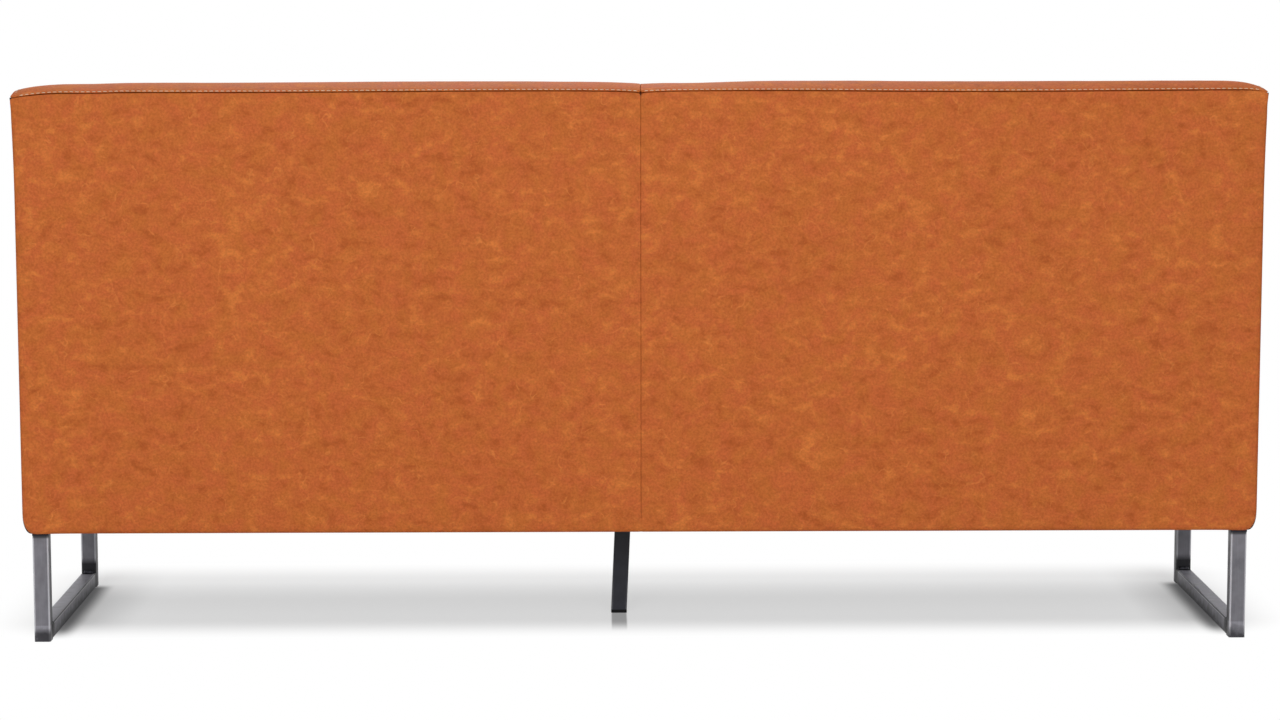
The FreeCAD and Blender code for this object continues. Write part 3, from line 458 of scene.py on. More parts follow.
def planed_pine():
    """Planed softwood: pale yellow with brown growth rings about 8 mm apart and a dry surface."""
    material, tree, shader = started("planed_pine")
    stretch = vector(tree, "MULTIPLY", on_object(tree), (0.12, 1.0, 1.0))
    rings = add(tree, "ShaderNodeTexWave", {"Vector": stretch, "Scale": 1 / (25 * MM), "Distortion": 6.0,
                                            "Detail": 3.0, "Detail Scale": 1.5},
                wave_type="RINGS", rings_direction="X").outputs["Fac"]
    shade(tree, shader, Base_Color=blend(tree, rings, "#D9BC8C", "#B98F58"), Roughness=0.7, IOR=1.5,
          Normal=bump(tree, rings, 0.1, 0.4 * MM))
    return material


def woven_webbing():
    """Woven polypropylene webbing: a flat basket weave of black tapes with a dull shine."""
    material, tree, shader = started("woven_webbing")
    place = on_object(tree)
    # Tapes of about 2.5 mm
    warp, weft = (bands(tree, place, 16 * MM, direction) for direction in "XZ")
    weave = figure(tree, "MULTIPLY", warp, weft)
    shade(tree, shader, Base_Color=blend(tree, weave, "#1A1A1A", "#4A4744"), Roughness=0.6, IOR=1.49,
          Normal=bump(tree, weave, 0.4, 0.6 * MM))
    return material


def spunbond():
    """Spunbonded dust sheet: thin black fleece with a pressed dot every 3 mm."""
    material, tree, shader = started("black_spunbond")
    place = on_object(tree)
    dots = add(tree, "ShaderNodeTexVoronoi", {"Vector": place, "Scale": 1 / (3 * MM), "Randomness": 0.1})
    fibre = lumps(tree, place, 10 * MM, 6.0)
    shade(tree, shader, Base_Color=blend(tree, fibre, "#141416", "#2B2B2E"), Roughness=0.8, IOR=1.49,
          Normal=bump(tree, dots.outputs["Distance"], 0.35, 0.5 * MM))
    return material


# Meshes

def places(total, margin, parts=2):
    """Places along a length: some close to each end, in parts of a margin, the rest a mesh step apart."""
    count = max(2, round((total - 2 * margin) / sizes().mesh_step) + 1)
    middle = np.linspace(margin, total - margin, count)
    near = np.linspace(0, margin, parts, endpoint=False)
    return np.concatenate((near, middle, total - near[::-1]))


def resampled(points, shares, more=None):
    """Points at shares of the length of a run, with more columns carried along where there are any."""
    steps = np.linalg.norm(np.diff(points, axis=0), axis=1)
    reach = np.concatenate(([0.0], np.cumsum(steps)))
    columns = points if more is None else np.concatenate((points, more), axis=1)
    return np.stack([np.interp(shares * reach[-1], reach, column) for column in columns.T], axis=-1)


def run_length(points):
    """Length of a run of points."""
    return float(np.linalg.norm(np.diff(points, axis=0), axis=1).sum())


def patch(bottom, top, left, right):
    """A grid of points between four border runs, opposite runs the same way."""
    s = np.linspace(0, 1, len(bottom))[None, :, None]
    t = np.linspace(0, 1, len(left))[:, None, None]
    across = (1 - t) * bottom[None] + t * top[None]
    along = (1 - s) * left[:, None] + s * right[:, None]
    corners = (1 - t) * ((1 - s) * bottom[0] + s * bottom[-1]) + t * ((1 - s) * top[0] + s * top[-1])
    return across + along - corners


def soft_noise(points, size, seed):
    """Smooth noise from -1 to 1 at each point, with lumps of the given size."""
    shift = Vector((7.3, 3.1, 5.7)) * seed
    return np.array([noise.noise(Vector(point) / size + shift) for point in points])


def welded(blocks, outward):
    """One open surface from grids of points that share their borders, facing outward."""
    surface = bmesh.new()
    for block in blocks:
        rows, columns = block.shape[:2]
        spots = [[surface.verts.new(point) for point in row] for row in block]
        for i in range(rows - 1):
            for j in range(columns - 1):
                surface.faces.new((spots[i][j], spots[i + 1][j], spots[i + 1][j + 1], spots[i][j + 1]))
    bmesh.ops.remove_doubles(surface, verts=surface.verts[:], dist=0.02 * MM)
    surface.normal_update()
    facing = sum((face.normal * face.calc_area() for face in surface.faces), Vector())
    if facing.dot(outward) < 0:
        bmesh.ops.reverse_faces(surface, faces=surface.faces[:])
        surface.normal_update()
    surface.verts.index_update()
    return surface


def border(surface):
    """The border of an open surface as a ring of vertices with the surface on their left."""
    following = {}
    for edge in surface.edges:
        if edge.is_boundary:
            loop = edge.link_loops[0]
            following[loop.vert] = loop.link_loop_next.vert
    first = min(following, key=lambda vert: vert.index)
    ring = [first]
    while following[ring[-1]] is not first:
        ring.append(following[ring[-1]])
    return ring


def edge_path(radius, depth, back=0.0, run=0.0, turn=math.pi / 2):
    """Steps outwards and inwards of a cover that turns over a round edge and runs in under it."""
    steps = 5
    angles = [turn * (k + 1) / steps for k in range(steps)]
    path = [(radius * math.sin(angle), radius * (1 - math.cos(angle))) for angle in angles]
    out, down = path[-1]
    half = (out + depth / 2 * math.cos(turn), down + depth / 2 * math.sin(turn))
    full = (out + depth * math.cos(turn) - back, down + depth * math.sin(turn) + run)
    return path + [half, full]


def turn_in(surface, path_of):
    """Carries a surface's border along the steps that path_of gives each place. Returns the last ring."""
    ring = border(surface)
    count = len(ring)
    sharpest = 0.7
    tops = [vert.co.copy() for vert in ring]
    normals = [vert.normal.copy() for vert in ring]
    outs = []
    for k in range(count):
        before = (tops[k] - tops[k - 1]).normalized().cross(normals[k])
        after = (tops[(k + 1) % count] - tops[k]).normalized().cross(normals[k])
        outs.append((before + after) / max(sharpest, 1 + before.dot(after)))
    paths = [path_of(top) for top in tops]
    for step in range(len(paths[0])):
        fresh = []
        for k in range(count):
            out, down = paths[k][step]
            fresh.append(surface.verts.new(tops[k] + outs[k] * out - normals[k] * down))
        for k in range(count):
            after = (k + 1) % count
            surface.faces.new((ring[after], ring[k], fresh[k], fresh[after]))
        ring = fresh
    return ring


def piece_from(name, surface, material, subdivide=True):
    """A piece of the bench from a mesh under construction."""
    mesh = bpy.data.meshes.new(name)
    surface.to_mesh(mesh)
    surface.free()
    mesh.polygons.foreach_set("use_smooth", [True] * len(mesh.polygons))
    mesh.materials.append(finish(material))
    piece = bpy.data.objects.new(name, mesh)
    bpy.context.scene.collection.objects.link(piece)
    if subdivide:
        modifier = piece.modifiers.new("smooth_surface", "SUBSURF")
        modifier.levels = 1
        modifier.render_levels = 1
    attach(piece, "root")
    return piece


def tube_piece(name, tubes, material):
    """A piece of closed tubes, each given as rings of points and whether its faces are turned over."""
    surface = bmesh.new()
    for rings, flip in tubes:
        rings = [[surface.verts.new(point) for point in ring] for ring in rings]
        skin = []
        for low, high in zip(rings, rings[1:]):
            for k in range(len(low)):
                after = (k + 1) % len(low)
                skin.append((low[k], low[after], high[after], high[k]))
        for face in skin + [rings[0][::-1], rings[-1]]:
            surface.faces.new(face[::-1] if flip else face)
    surface.normal_update()
    return piece_from(name, surface, material, subdivide=False)


# Outline of the covers

def eased(share):
    """A share from 0 to 1 with a soft start and end."""
    share = np.clip(share, 0, 1)
    return share ** 2 * (3 - 2 * share)


def flare(z):
    """How far the sides stand out at a height: they lean out a little and the top corners are drawn out."""
    lean, upright_at = 1.4 * MM, 0.4
    reach = 163 * MM
    drawn_out = np.clip((z - (SEAM - reach)) / reach, 0, 1.1)
    return lean * ((z - BASE) / (SEAM - BASE) - upright_at) + sizes().top_flare * drawn_out ** 2


def spread(x, z):
    """How far the flare of the sides moves a place of a cover, nearly all of it close to the ends."""
    return flare(z) * (x / HALF_WIDTH) ** 8


def crown_draw(x):
    """How far the crown is drawn down: a little all along, by the middle, and more near the ends."""
    slack, depth, reach = 0.9 * MM, 2 * MM, 12 * MM
    if x <= 0:
        hollow, hollow_at, hollow_reach = 2.3 * MM, -75 * MM, 70 * MM
        slack = 0.4 * MM + hollow * math.exp(-((x - hollow_at) / hollow_reach) ** 2)
        depth, reach = 5.5 * MM, 28 * MM
    return slack + depth * math.exp(-((HALF_WIDTH - abs(x)) / reach) ** 2)


def end_dip(x):
    """How far the rear top seam dips near an end, more on the left than on the right."""
    away = HALF_WIDTH - abs(x)
    shoulder, depth, reach = 0.0, 5.5 * MM, 26 * MM
    if x > 0:
        shoulder = 1.5 * MM * float(eased((170 * MM - away) / (70 * MM)))
        depth, reach = 8 * MM, 80 * MM
    return shoulder + depth * max(0.0, 1 - away / reach) ** 2


def seam_wave(x):
    """Height of the rear top seam above its plain line: slow waves, a dip in the middle and at the ends."""
    rise, wave, calm = 1.4 * MM, 0.9 * MM, 80 * MM
    dip, dip_reach = 1.8 * MM, 50 * MM
    if x > 0:
        slow = -math.sin(2 * math.pi * (x - 0.38) / 0.9)
    else:
        slow = math.cos(2 * math.pi * (x + 0.15) / 0.72)
    middle = dip * max(0.0, 1 - abs(x) / dip_reach) ** 2
    return rise + wave * slow * min(1.0, abs(x) / calm) - middle - end_dip(x)


def top_shift(x, z):
    """How far the waves of the rear top seam move a place of the back at a height."""
    reach = 100 * MM
    return np.clip((z - SEAM + reach) / reach, 0, 1) ** 2 * seam_wave(x)


def panel_top(x):
    """Height of the outside back's upper edge, below the open groove of the seam."""
    return SEAM - 0.7 * MM - sizes().top_gap + seam_wave(x)


def border_top(x):
    """Height of the front border's upper edge, below the seam of the seat."""
    return DECK - sizes().seam_gap / 2


def half_start():
    """Distance of the flat part of a cover's half from the centre seam."""
    return sizes().centre_gap / 2 + sizes().centre_round


def end_inset():
    """Distance of the flat part of an end panel from the outline of its cushion."""
    return sizes().end_round + sizes().seam_gap + sizes().seam_round


def drawn_in(along, total):
    """How far the seams draw a cushion half in at a place along it, from the centre seam to the end."""
    near_seam = max(0.0, 1 - along / DRAW_REACH) ** 2
    near_end = max(0.0, 1 - (total - along) / DRAW_REACH) ** 2
    return SEAM_DRAW * near_seam + END_DRAW * near_end


def polar(middle, radius, angles):
    """Points in Y and Z on a circle, angles measured from straight up towards -Y."""
    return np.stack((middle[0] - radius * np.sin(angles), middle[1] + radius * np.cos(angles)), axis=-1)


def back_run(drawn, inset, rear_y, low):
    """Crown, front round and front face of the back, from its rear top to low, and the bend's share."""
    half = CROWN_CHORD / 2
    rise = BACK_CROWN - drawn
    crown_radius = (half ** 2 + rise ** 2) / (2 * rise)
    crown_middle = (REAR - half, SEAM + rise - crown_radius)
    bend = math.asin(half / crown_radius)
    upright = math.pi / 2 - math.atan(BACK_SLOPE)
    room = BACK_HEAD - CROWN_CHORD - drawn
    turn_y = math.sin(upright) - math.sin(bend)
    turn_z = math.cos(bend) - math.cos(upright)
    round_radius = room / (turn_y - BACK_SLOPE * turn_z)
    joint = polar(crown_middle, crown_radius, bend)
    round_middle = polar(joint, -round_radius, bend)
    start = -math.asin((rear_y - crown_middle[0]) / (crown_radius - inset))
    crown = polar(crown_middle, crown_radius - inset, np.linspace(start, bend, 24))
    turn = polar(round_middle, round_radius - inset, np.linspace(bend, upright, 24))
    foot = (turn[-1][0] - BACK_SLOPE * (turn[-1][1] - low), low)
    run = np.concatenate((crown, turn[1:], [foot]))
    return run, run_length(np.concatenate((crown, turn[1:13]))) / run_length(run)


def back_plane(z):
    """Y of the plane that the rear of the seat lies against."""
    return BACK_FOOT - SEAT_GAP + BACK_SLOPE * (z - DECK)


def seat_run(drawn, inset, low):
    """Top, front round and front face of the seat, from the back to low, and the bend's share of it."""
    half = (BACK_FOOT - FRONT) / 2
    top_radius = (half ** 2 + SEAT_RISE ** 2) / (2 * SEAT_RISE)
    top_middle = (FRONT + half, SEAT_TOP - drawn - top_radius)
    front = FRONT + drawn / 2
    across = front + SEAT_EDGE - top_middle[0]
    up = math.sqrt((top_radius - SEAT_EDGE) ** 2 - across ** 2)
    edge_middle = (front + SEAT_EDGE, top_middle[1] + up)
    bend = math.atan2(-across, up)
    rear_y = back_plane(SEAT_TOP - drawn - SEAT_RISE) - inset
    start = -math.asin((rear_y - top_middle[0]) / (top_radius - inset))
    top = polar(top_middle, top_radius - inset, np.linspace(start, bend, 40))
    turn = polar(edge_middle, SEAT_EDGE - inset, np.linspace(bend, math.pi / 2, 20))
    run = np.concatenate((top, turn[1:], [(front + inset, low)]))
    return run, run_length(np.concatenate((top, turn[1:11]))) / run_length(run)


# Flat covers

def edge_radius(depth):
    """Round of a flat cover's side edge at a depth below its top: small at the seam, full further down."""
    reach = 30 * MM
    return sizes().seam_round + (sizes().edge_round - sizes().seam_round) * float(eased(depth / reach))


def even_radius(depth):
    """Round of a flat cover's side edge that stays the same all the way down."""
    return sizes().edge_round


def flat_cover(name, sign, plane_y, facing, top_at, side_round, lower_corner, nodes):
    """A flat cover of one half that wraps the body's side and lower edge, with its lower corner rounded."""
    size = sizes()
    seam = half_start()
    droop_most, droop_reach = 1.2 * MM, 70 * MM
    uneven, lump, calm = 0.7 * MM, 170 * MM, 80 * MM
    widened, steepness = 0.88, 60
    hem = 12 * MM
    corner, tall = (reach - size.edge_round for reach in lower_corner)
    edge = HALF_WIDTH + size.edge_swell - size.edge_round
    across = places(edge - seam, corner) + seam
    low = BASE - size.edge_sag + size.edge_round
    span = top_at(0) - low
    up = places(span, tall, 4) / span
    grid = np.zeros((len(up), len(across), 3))
    for j, x in enumerate(across):
        high = top_at(sign * x) - size.seam_round
        droop = droop_most * max(0.0, 1 - (across[-1] - x) / droop_reach) ** 2
        for i, share in enumerate(up):
            z = low + share * (high - low) - droop * (1 - share) ** 4
            a = 1 - (across[-1] - x) / corner
            b = 1 - (z - low + droop) / tall
            turned_x, turned_z = x, z
            if a > 0 and b > 0:
                turned_x = across[-1] - corner + corner * a * math.sqrt(1 - b * b / 2)
                turned_z = low - droop + tall - tall * b * math.sqrt(1 - a * a / 2)
            sharper = size.edge_round - side_round(high - z)
            wide = spread(x, z) + widened * sharper * (x / across[-1]) ** steepness
            grid[i, j] = (sign * (turned_x + wide), plane_y, turned_z)
    flat = grid.reshape(-1, 3)
    inside = np.clip(np.minimum(flat[:, 2] - BASE, HALF_WIDTH - np.abs(flat[:, 0])) / calm, 0, 1)
    flat[:, 1] += facing * uneven * inside * soft_noise(flat, lump, 3 + sign)
    surface = welded([grid], Vector((0, facing, 0)))

    def path_of(spot):
        if spot.z < low + corner - 1 * MM:
            return edge_path(size.edge_round, 1 * MM, size.edge_sag + 0.3 * MM, hem)
        if abs(spot.x) > edge - 3 * MM:
            return edge_path(side_round(top_at(spot.x) - size.seam_round - spot.z), 3 * MM, 3 * MM)
        if abs(spot.x) < 2 * seam:
            return edge_path(size.centre_round, size.seam_depth)
        return edge_path(size.seam_round, size.seam_depth)

    turn_in(surface, path_of)
    piece = piece_from(name, surface, leather)
    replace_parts(piece, *nodes)
    return piece


def section_patch(run, bend, low, width, rear_at):
    """A grid of points in Y and Z under a section's run over its top and front, up to a rear edge."""
    step = sizes().mesh_step
    foot, peak = run[-1][0], run[0][1]
    s = np.linspace(0, 1, max(4, round(width / step)) + 1)
    t = np.linspace(0, 1, max(4, round((peak - low) / step)) + 1)
    rear_edge = np.array([(rear_at(z), z) for z in low + t * (peak - low)])
    bottom = np.stack((foot + s * (rear_edge[0][0] - foot), np.full(len(s), low)), axis=-1)
    return patch(bottom, resampled(run, bend * (1 - s)), resampled(run, 1 - (1 - bend) * t), rear_edge)


def side_cover(name, sign, side):
    """The cover of one side: the side of the seat box and the end of the back in one piece."""
    size = sizes()
    margin = 3 * MM + size.seam_gap + size.seam_round
    hem_height, hem_depth = 30 * MM, 9 * MM
    rear_pull, front_pull = 5 * MM, 2 * MM
    top = DECK - size.seam_gap / 2 - size.seam_round
    low = BASE - 0.6 * MM
    rear_y = REAR - size.edge_round - margin
    front_y = FRONT + size.edge_round + margin
    run, bend = back_run(crown_draw(sign * HALF_WIDTH), end_inset(), REAR - edge_radius(0) - margin, top)
    foot, peak = run[-1][0], run[0][1]
    back_end = section_patch(run, bend, top, rear_y - foot, lambda z: REAR - edge_radius(peak - z) - margin)
    n_front = max(4, round((foot - front_y) / size.mesh_step))
    row = np.concatenate((np.linspace(front_y, foot, n_front + 1)[:-1], back_end[0, :, 0]))
    along = 2 * (row - front_y) / (rear_y - front_y) - 1
    pull = np.where(along > 0, rear_pull, front_pull) * along
    # The lower edge turns in over a tall, shallow round
    angles = np.linspace(math.pi / 2, 0, 7)
    upper = np.linspace(low + hem_height + 12 * MM, top, 14)
    heights = np.concatenate((low + hem_height * (1 - np.sin(angles)), upper))
    hem = np.concatenate((hem_depth * (1 - np.cos(angles)), np.zeros(len(upper))))
    box_side = np.zeros((len(heights), len(row), 2))
    for i, z in enumerate(heights):
        box_side[i, :, 0] = row - pull * float(eased(1 - (z - low) / size.corner_height))
        box_side[i, :, 1] = z

    def stood(block, depth=0.0):
        x = HALF_WIDTH + flare(block[..., 1]) - depth
        z = block[..., 1] + top_shift(sign * HALF_WIDTH, block[..., 1])
        return np.stack((sign * x, block[..., 0], z), axis=-1)

    surface = welded([stood(box_side, hem[:, None]), stood(back_end)], Vector((sign, 0, 0)))

    def path_of(spot):
        if spot.z < low + 0.3 * MM:
            return edge_path(0.5 * MM, 1 * MM)
        return edge_path(size.seam_round, size.seam_depth)

    turn_in(surface, path_of)
    piece = piece_from(name, surface, leather)
    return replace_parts(piece, f"side_cover_{side}", f"side_padding_{side}")


def seat_end(name, sign, node):
    """The flat end panel of a seat cushion."""
    size = sizes()
    low = DECK + size.seam_gap / 2 + size.seam_round
    run, bend = seat_run(END_DRAW, end_inset(), low)
    rear_low = back_plane(low) - end_inset()
    rear_high, peak = run[0]
    lean = (rear_high - rear_low) / (peak - low)
    grid = section_patch(run, bend, low, rear_high - FRONT, lambda z: rear_low + lean * (z - low))
    grid = np.concatenate((np.full(grid.shape[:2] + (1,), sign * HALF_WIDTH), grid), axis=-1)
    surface = welded([grid], Vector((sign, 0, 0)))
    turn_in(surface, lambda spot: edge_path(size.seam_round, size.seam_depth))
    piece = piece_from(name, surface, leather)
    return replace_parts(piece, node)


# Cushions

def cushion(name, outer, inner, outward, path_of):
    """A closed cushion: outer grid with its border turned in, joined to an inner grid of as many points."""
    rows, columns = outer.shape[:2]
    surface = welded([outer], outward)
    spots = [(vert.index // columns, vert.index % columns) for vert in border(surface)]
    last = turn_in(surface, path_of)
    inside = [[surface.verts.new(point) for point in row] for row in inner]
    count = len(last)
    for k in range(count):
        after = (k + 1) % count
        here = inside[spots[k][0]][spots[k][1]]
        there = inside[spots[after][0]][spots[after][1]]
        surface.faces.new((last[after], last[k], here, there))
    for i in range(rows - 1):
        for j in range(columns - 1):
            surface.faces.new((inside[i][j], inside[i][j + 1], inside[i + 1][j + 1], inside[i + 1][j]))
    surface.normal_update()
    bmesh.ops.recalc_face_normals(surface, faces=surface.faces[:])
    return piece_from(name, surface, leather)


def read_vectors(collection, key):
    """The vectors of a mesh's vertices or normals as an array."""
    flat = np.empty(len(collection) * 3)
    collection.foreach_get(key, flat)
    return flat.reshape(-1, 3)


def set_points(piece, points):
    """Moves the points of a piece's mesh."""
    piece.data.vertices.foreach_set("co", points.ravel())
    piece.data.update()


def swell(piece, hold, pressure, most, slack):
    """Swells a cover under its filling while its seams hold, by cloth simulation, and keeps the result."""
    scene = bpy.context.scene
    frames = 20
    group = piece.vertex_groups.new(name="held")
    for index, weight in enumerate(hold):
        group.add([index], float(weight), "REPLACE")
    start = read_vectors(piece.data.vertices, "co")
    piece.modifiers["smooth_surface"].show_viewport = False
    modifier = piece.modifiers.new("swell", "CLOTH")
    cloth = modifier.settings
    cloth.quality = 6
    cloth.mass = 0.4
    cloth.tension_stiffness = 25
    cloth.compression_stiffness = 25
    cloth.shear_stiffness = 8
    cloth.bending_stiffness = 1.2
    cloth.use_pressure = True
    cloth.uniform_pressure_force = pressure
    cloth.shrink_min = -slack
    cloth.shrink_max = -slack
    cloth.vertex_group_mass = "held"
    cloth.effector_weights.gravity = 0
    modifier.collision_settings.use_collision = False
    modifier.point_cache.frame_start = 1
    modifier.point_cache.frame_end = frames
    for number in range(1, frames + 1):
        scene.frame_set(number)
    shaped = piece.evaluated_get(bpy.context.evaluated_depsgraph_get())
    move = read_vectors(shaped.data.vertices, "co") - start
    far = np.linalg.norm(move, axis=1)
    move *= np.minimum(1.0, most / np.maximum(far, 1e-9))[:, None]
    piece.modifiers.remove(modifier)
    piece.modifiers["smooth_surface"].show_viewport = True
    piece.vertex_groups.clear()
    scene.frame_set(1)
    set_points(piece, start + move)


def pucker(piece, count, near, along, seed, height):
    """Small gathers along the seams and slow unevenness between them, along the cover's normals."""
    pitch, reach, clear = 30 * MM, 22 * MM, 8 * MM
    slow_lump, wander_lump, calm = 90 * MM, 50 * MM, 60 * MM
    points = read_vectors(piece.data.vertices, "co")
    normals = read_vectors(piece.data.vertex_normals, "vector")[:count]
    uneven = soft_noise(points[:count], slow_lump, seed)
    wander = soft_noise(points[:count], wander_lump, seed + 2)
    fade = np.exp(-near / reach) * np.clip(near / clear, 0, 1)
    waves = np.sin(2 * math.pi * (along / pitch + 1.2 * wander))
    lift = height * (fade * waves * (0.6 + 0.4 * uneven) + 0.5 * uneven * np.clip(near / calm, 0, 1))
    points[:count] += normals * lift[:, None]
    set_points(piece, points)


def border_distance(across, along_run):
    """Distance of each grid point from the nearest border, and its place along that border."""
    x, r = np.meshgrid(across, along_run, indexing="ij")
    from_ends = np.minimum(x - across[0], across[-1] - x)
    from_sides = np.minimum(r - along_run[0], along_run[-1] - r)
    near = np.minimum(from_ends, from_sides)
    along = np.where(from_ends < from_sides, r, x)
    return near.ravel(), along.ravel()


def settle(piece, across, along_run, still, pressure, most, slack, seed, gather):
    """Swells a cushion and gathers it at its seams. It is held at its seams and where it is marked still."""
    fade = 30 * MM
    near, along = border_distance(across, along_run)
    count = len(near)
    hold = np.ones(len(piece.data.vertices))
    hold[:count] = np.clip(np.maximum(1 - near / fade, still), 0, 1)
    swell(piece, hold, pressure, most, slack)
    pucker(piece, count, near, along, seed, gather)


def end_radius(depth):
    """Round of the back's end seam at a depth from the rear: small at the rear corner, full further in."""
    reach = 14 * MM
    return sizes().nose + (sizes().end_round - sizes().nose) * eased(depth / reach)


def back_cushion(name, sign, side):
    """One half of the padded back: crown, front round and raked front, drawn in at its seams."""
    size = sizes()
    seam = half_start()
    clear, shell_rear, shell_end = 3 * MM, 16 * MM, 14 * MM
    rear_turn = math.pi - math.asin(CROWN_CHORD * BACK_CROWN / ((CROWN_CHORD / 2) ** 2 + BACK_CROWN ** 2))
    total = HALF_WIDTH - size.end_round
    across = places(total - seam, 10 * MM) + seam
    reach = run_length(back_run(0.0, 0.0, CROWN_START, DECK + seam)[0])
    shares = places(reach, 8 * MM) / reach
    outer = np.zeros((len(across), len(shares), 3))
    inner = np.zeros_like(outer)
    shell = np.array([(REAR - shell_rear, RAIL_HIGH.z + clear), (RAIL_LOW.y - clear, RAIL_HIGH.z + clear),
                      (RAIL_LOW.y - clear, RAIL_LOW.z), (POST_FOOT - clear, DECK + clear)])
    inner[..., 1:] = resampled(shell, shares)
    for i, x in enumerate(across):
        run, _ = back_run(crown_draw(sign * x), 0.0, CROWN_START, DECK + seam)
        y, z = resampled(run, shares).T
        wide = spread(x, z) + (size.end_round - end_radius(shares * reach)) * (x / total) ** 30
        outer[i] = np.stack((sign * (x + wide), y, z + top_shift(sign * x, z)), axis=-1)
        inner[i, :, 0] = sign * (clear + (x - seam) / (total - seam) * (HALF_WIDTH - shell_end - clear))

    def path_of(spot):
        if spot.y > CROWN_START - 1 * MM:
            return edge_path(size.nose, size.seam_depth, turn=rear_turn)
        if abs(spot.x) > total - 1 * MM:
            return edge_path(float(end_radius(CROWN_START - spot.y)), 1.5 * MM)
        return edge_path(size.centre_round, size.seam_depth)

    piece = cushion(name, outer, inner, Vector((0, -1, 0)), path_of)
    behind_seat = np.clip((SEAT_TOP + 30 * MM - outer[..., 2].ravel()) / (40 * MM), 0, 1)
    settle(piece, across, shares * reach, behind_seat, 0.35, size.back_swell, 0.0, 11 + sign, 0.9 * MM)
    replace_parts(piece, f"inside_back_cover_{side}", f"back_foam_{side}")
    return piece


def seat_cushion(name, sign, side):
    """One half of the seat: crowned top, round front edge and upright front, drawn in at its seams."""
    size = sizes()
    seam = half_start()
    rear_round = 8 * MM
    clear, shell_rear, shell_front, shell_end = 3 * MM, 4 * MM, 16 * MM, 17 * MM
    total = HALF_WIDTH - size.end_round
    across = places(total - seam, 10 * MM) + seam
    reach = run_length(seat_run(0.0, 0.0, DECK + seam)[0]) - rear_round
    shares = (places(reach, 8 * MM) + rear_round) / (reach + rear_round)
    outer = np.zeros((len(across), len(shares), 3))
    inner = np.zeros_like(outer)
    back = back_plane(DECK) - shell_rear
    inner[..., 1] = back + (FRONT + shell_front - back) * (shares - shares[0]) / (1 - shares[0])
    inner[..., 2] = DECK + 1 * MM
    for i, x in enumerate(across):
        outer[i, :, 0] = sign * x
        outer[i, :, 1:] = resampled(seat_run(drawn_in(x, total), 0.0, DECK + seam)[0], shares)
        inner[i, :, 0] = sign * (clear + (x - seam) / (total - seam) * (HALF_WIDTH - shell_end))

    def path_of(spot):
        if abs(spot.x) > total - 1 * MM:
            return edge_path(size.end_round, 1.5 * MM)
        if spot.y > back_plane(spot.z) - 2 * rear_round:
            return edge_path(rear_round, 20 * MM)
        return edge_path(size.centre_round, size.seam_depth)

    piece = cushion(name, outer, inner, Vector((0, 0, 1)), path_of)
    by_back = np.clip((outer[..., 1].ravel() - back_plane(SEAT_TOP) + 50 * MM) / (40 * MM), 0, 1)
    settle(piece, across, shares * reach, by_back, 0.4, size.seat_swell, 0.004, 23 + sign, 1.1 * MM)
    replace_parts(piece, f"seat_cover_{side}", f"seat_foam_{side}")
    return piece


# Stitches and tapes

def tree_of(piece):
    """A search tree over a piece's finished surface."""
    piece.data.update_tag()
    bpy.context.view_layer.update()
    return bvhtree.BVHTree.FromObject(piece, bpy.context.evaluated_depsgraph_get())


def outward_of(run):
    """Outward directions along a section that runs from the rear over the top to the front."""
    step = np.gradient(run[:, 1:], axis=0)
    out = np.stack((np.zeros(len(step)), step[:, 1], -step[:, 0]), axis=-1)
    return out / np.linalg.norm(out, axis=1)[:, None]


def laid(surface, spot):
    """Where a place meets a surface along its outward direction, and the surface's direction there."""
    out = Vector(spot[3:]).normalized()
    hit, normal, _, _ = surface.ray_cast(Vector(spot[:3]) + out * 30 * MM, -out)
    return hit, normal


def stitched(name, runs):
    """One thread piece with a stitch at each step along runs of points, each run laid on a surface."""
    size = sizes()
    radius = size.thread / 2
    first_at, sides = 0.15, 6
    # Share of the stitch's length, share of its thickness, and height of its middle in radii
    forms = ((0.0, 0.35, -0.5), (0.12, 0.85, 0.1), (0.35, 1.0, 0.42),
             (0.65, 1.0, 0.42), (0.88, 0.85, 0.1), (1.0, 0.35, -0.5))
    angles = [2 * math.pi * turn / sides for turn in range(sides)]
    tubes = []
    for surface, run, outs in runs:
        reach = run_length(run)
        for k in range(int(reach / size.stitch_pitch)):
            first = (k + first_at) * size.stitch_pitch / reach
            ends = resampled(run, np.array([first, first + size.stitch / reach]), outs)
            (start, normal), (end, other) = (laid(surface, spot) for spot in ends)
            along = end - start
            up = (normal + other).normalized()
            across = along.normalized().cross(up)
            rings = []
            for share, thick, height in forms:
                middle = start + along * share + up * (radius * height)
                rings.append([middle + (across * math.cos(angle) + up * math.sin(angle)) * (radius * thick)
                              for angle in angles])
            tubes.append((rings, False))
    return tube_piece(name, tubes, polyester_thread)


def crown_line(sign):
    """The line of the topstitch over the rear top seam of one half."""
    from_middle, from_end, count = 4 * MM, 6 * MM, 180
    line = []
    for x in np.linspace(from_middle, HALF_WIDTH - from_end, count):
        run, _ = back_run(crown_draw(sign * x), 0.0, CROWN_START, DECK)
        step = (run[1] - run[0]) / run_length(run[:2])
        y, z = run[0] - sizes().nose * np.array((step[1], -step[0]))
        line.append((sign * (x + spread(x, z)), y, z + seam_wave(sign * x)))
    return np.array(line)


def end_lines(sign):
    """The lines of the topstitch along the ends of the back and of the seat."""
    x = HALF_WIDTH - sizes().end_round - 4 * MM
    run, _ = back_run(crown_draw(sign * x), 0.0, REAR - 12 * MM, SEAT_TOP)
    back = [(sign * (x + flare(z)), y, z + top_shift(sign * x, z)) for y, z in run]
    run, _ = seat_run(END_DRAW, 0.0, DECK + 8 * MM)
    seat = [(sign * x, y, z) for y, z in run[2:]]
    return np.array(back), np.array(seat)


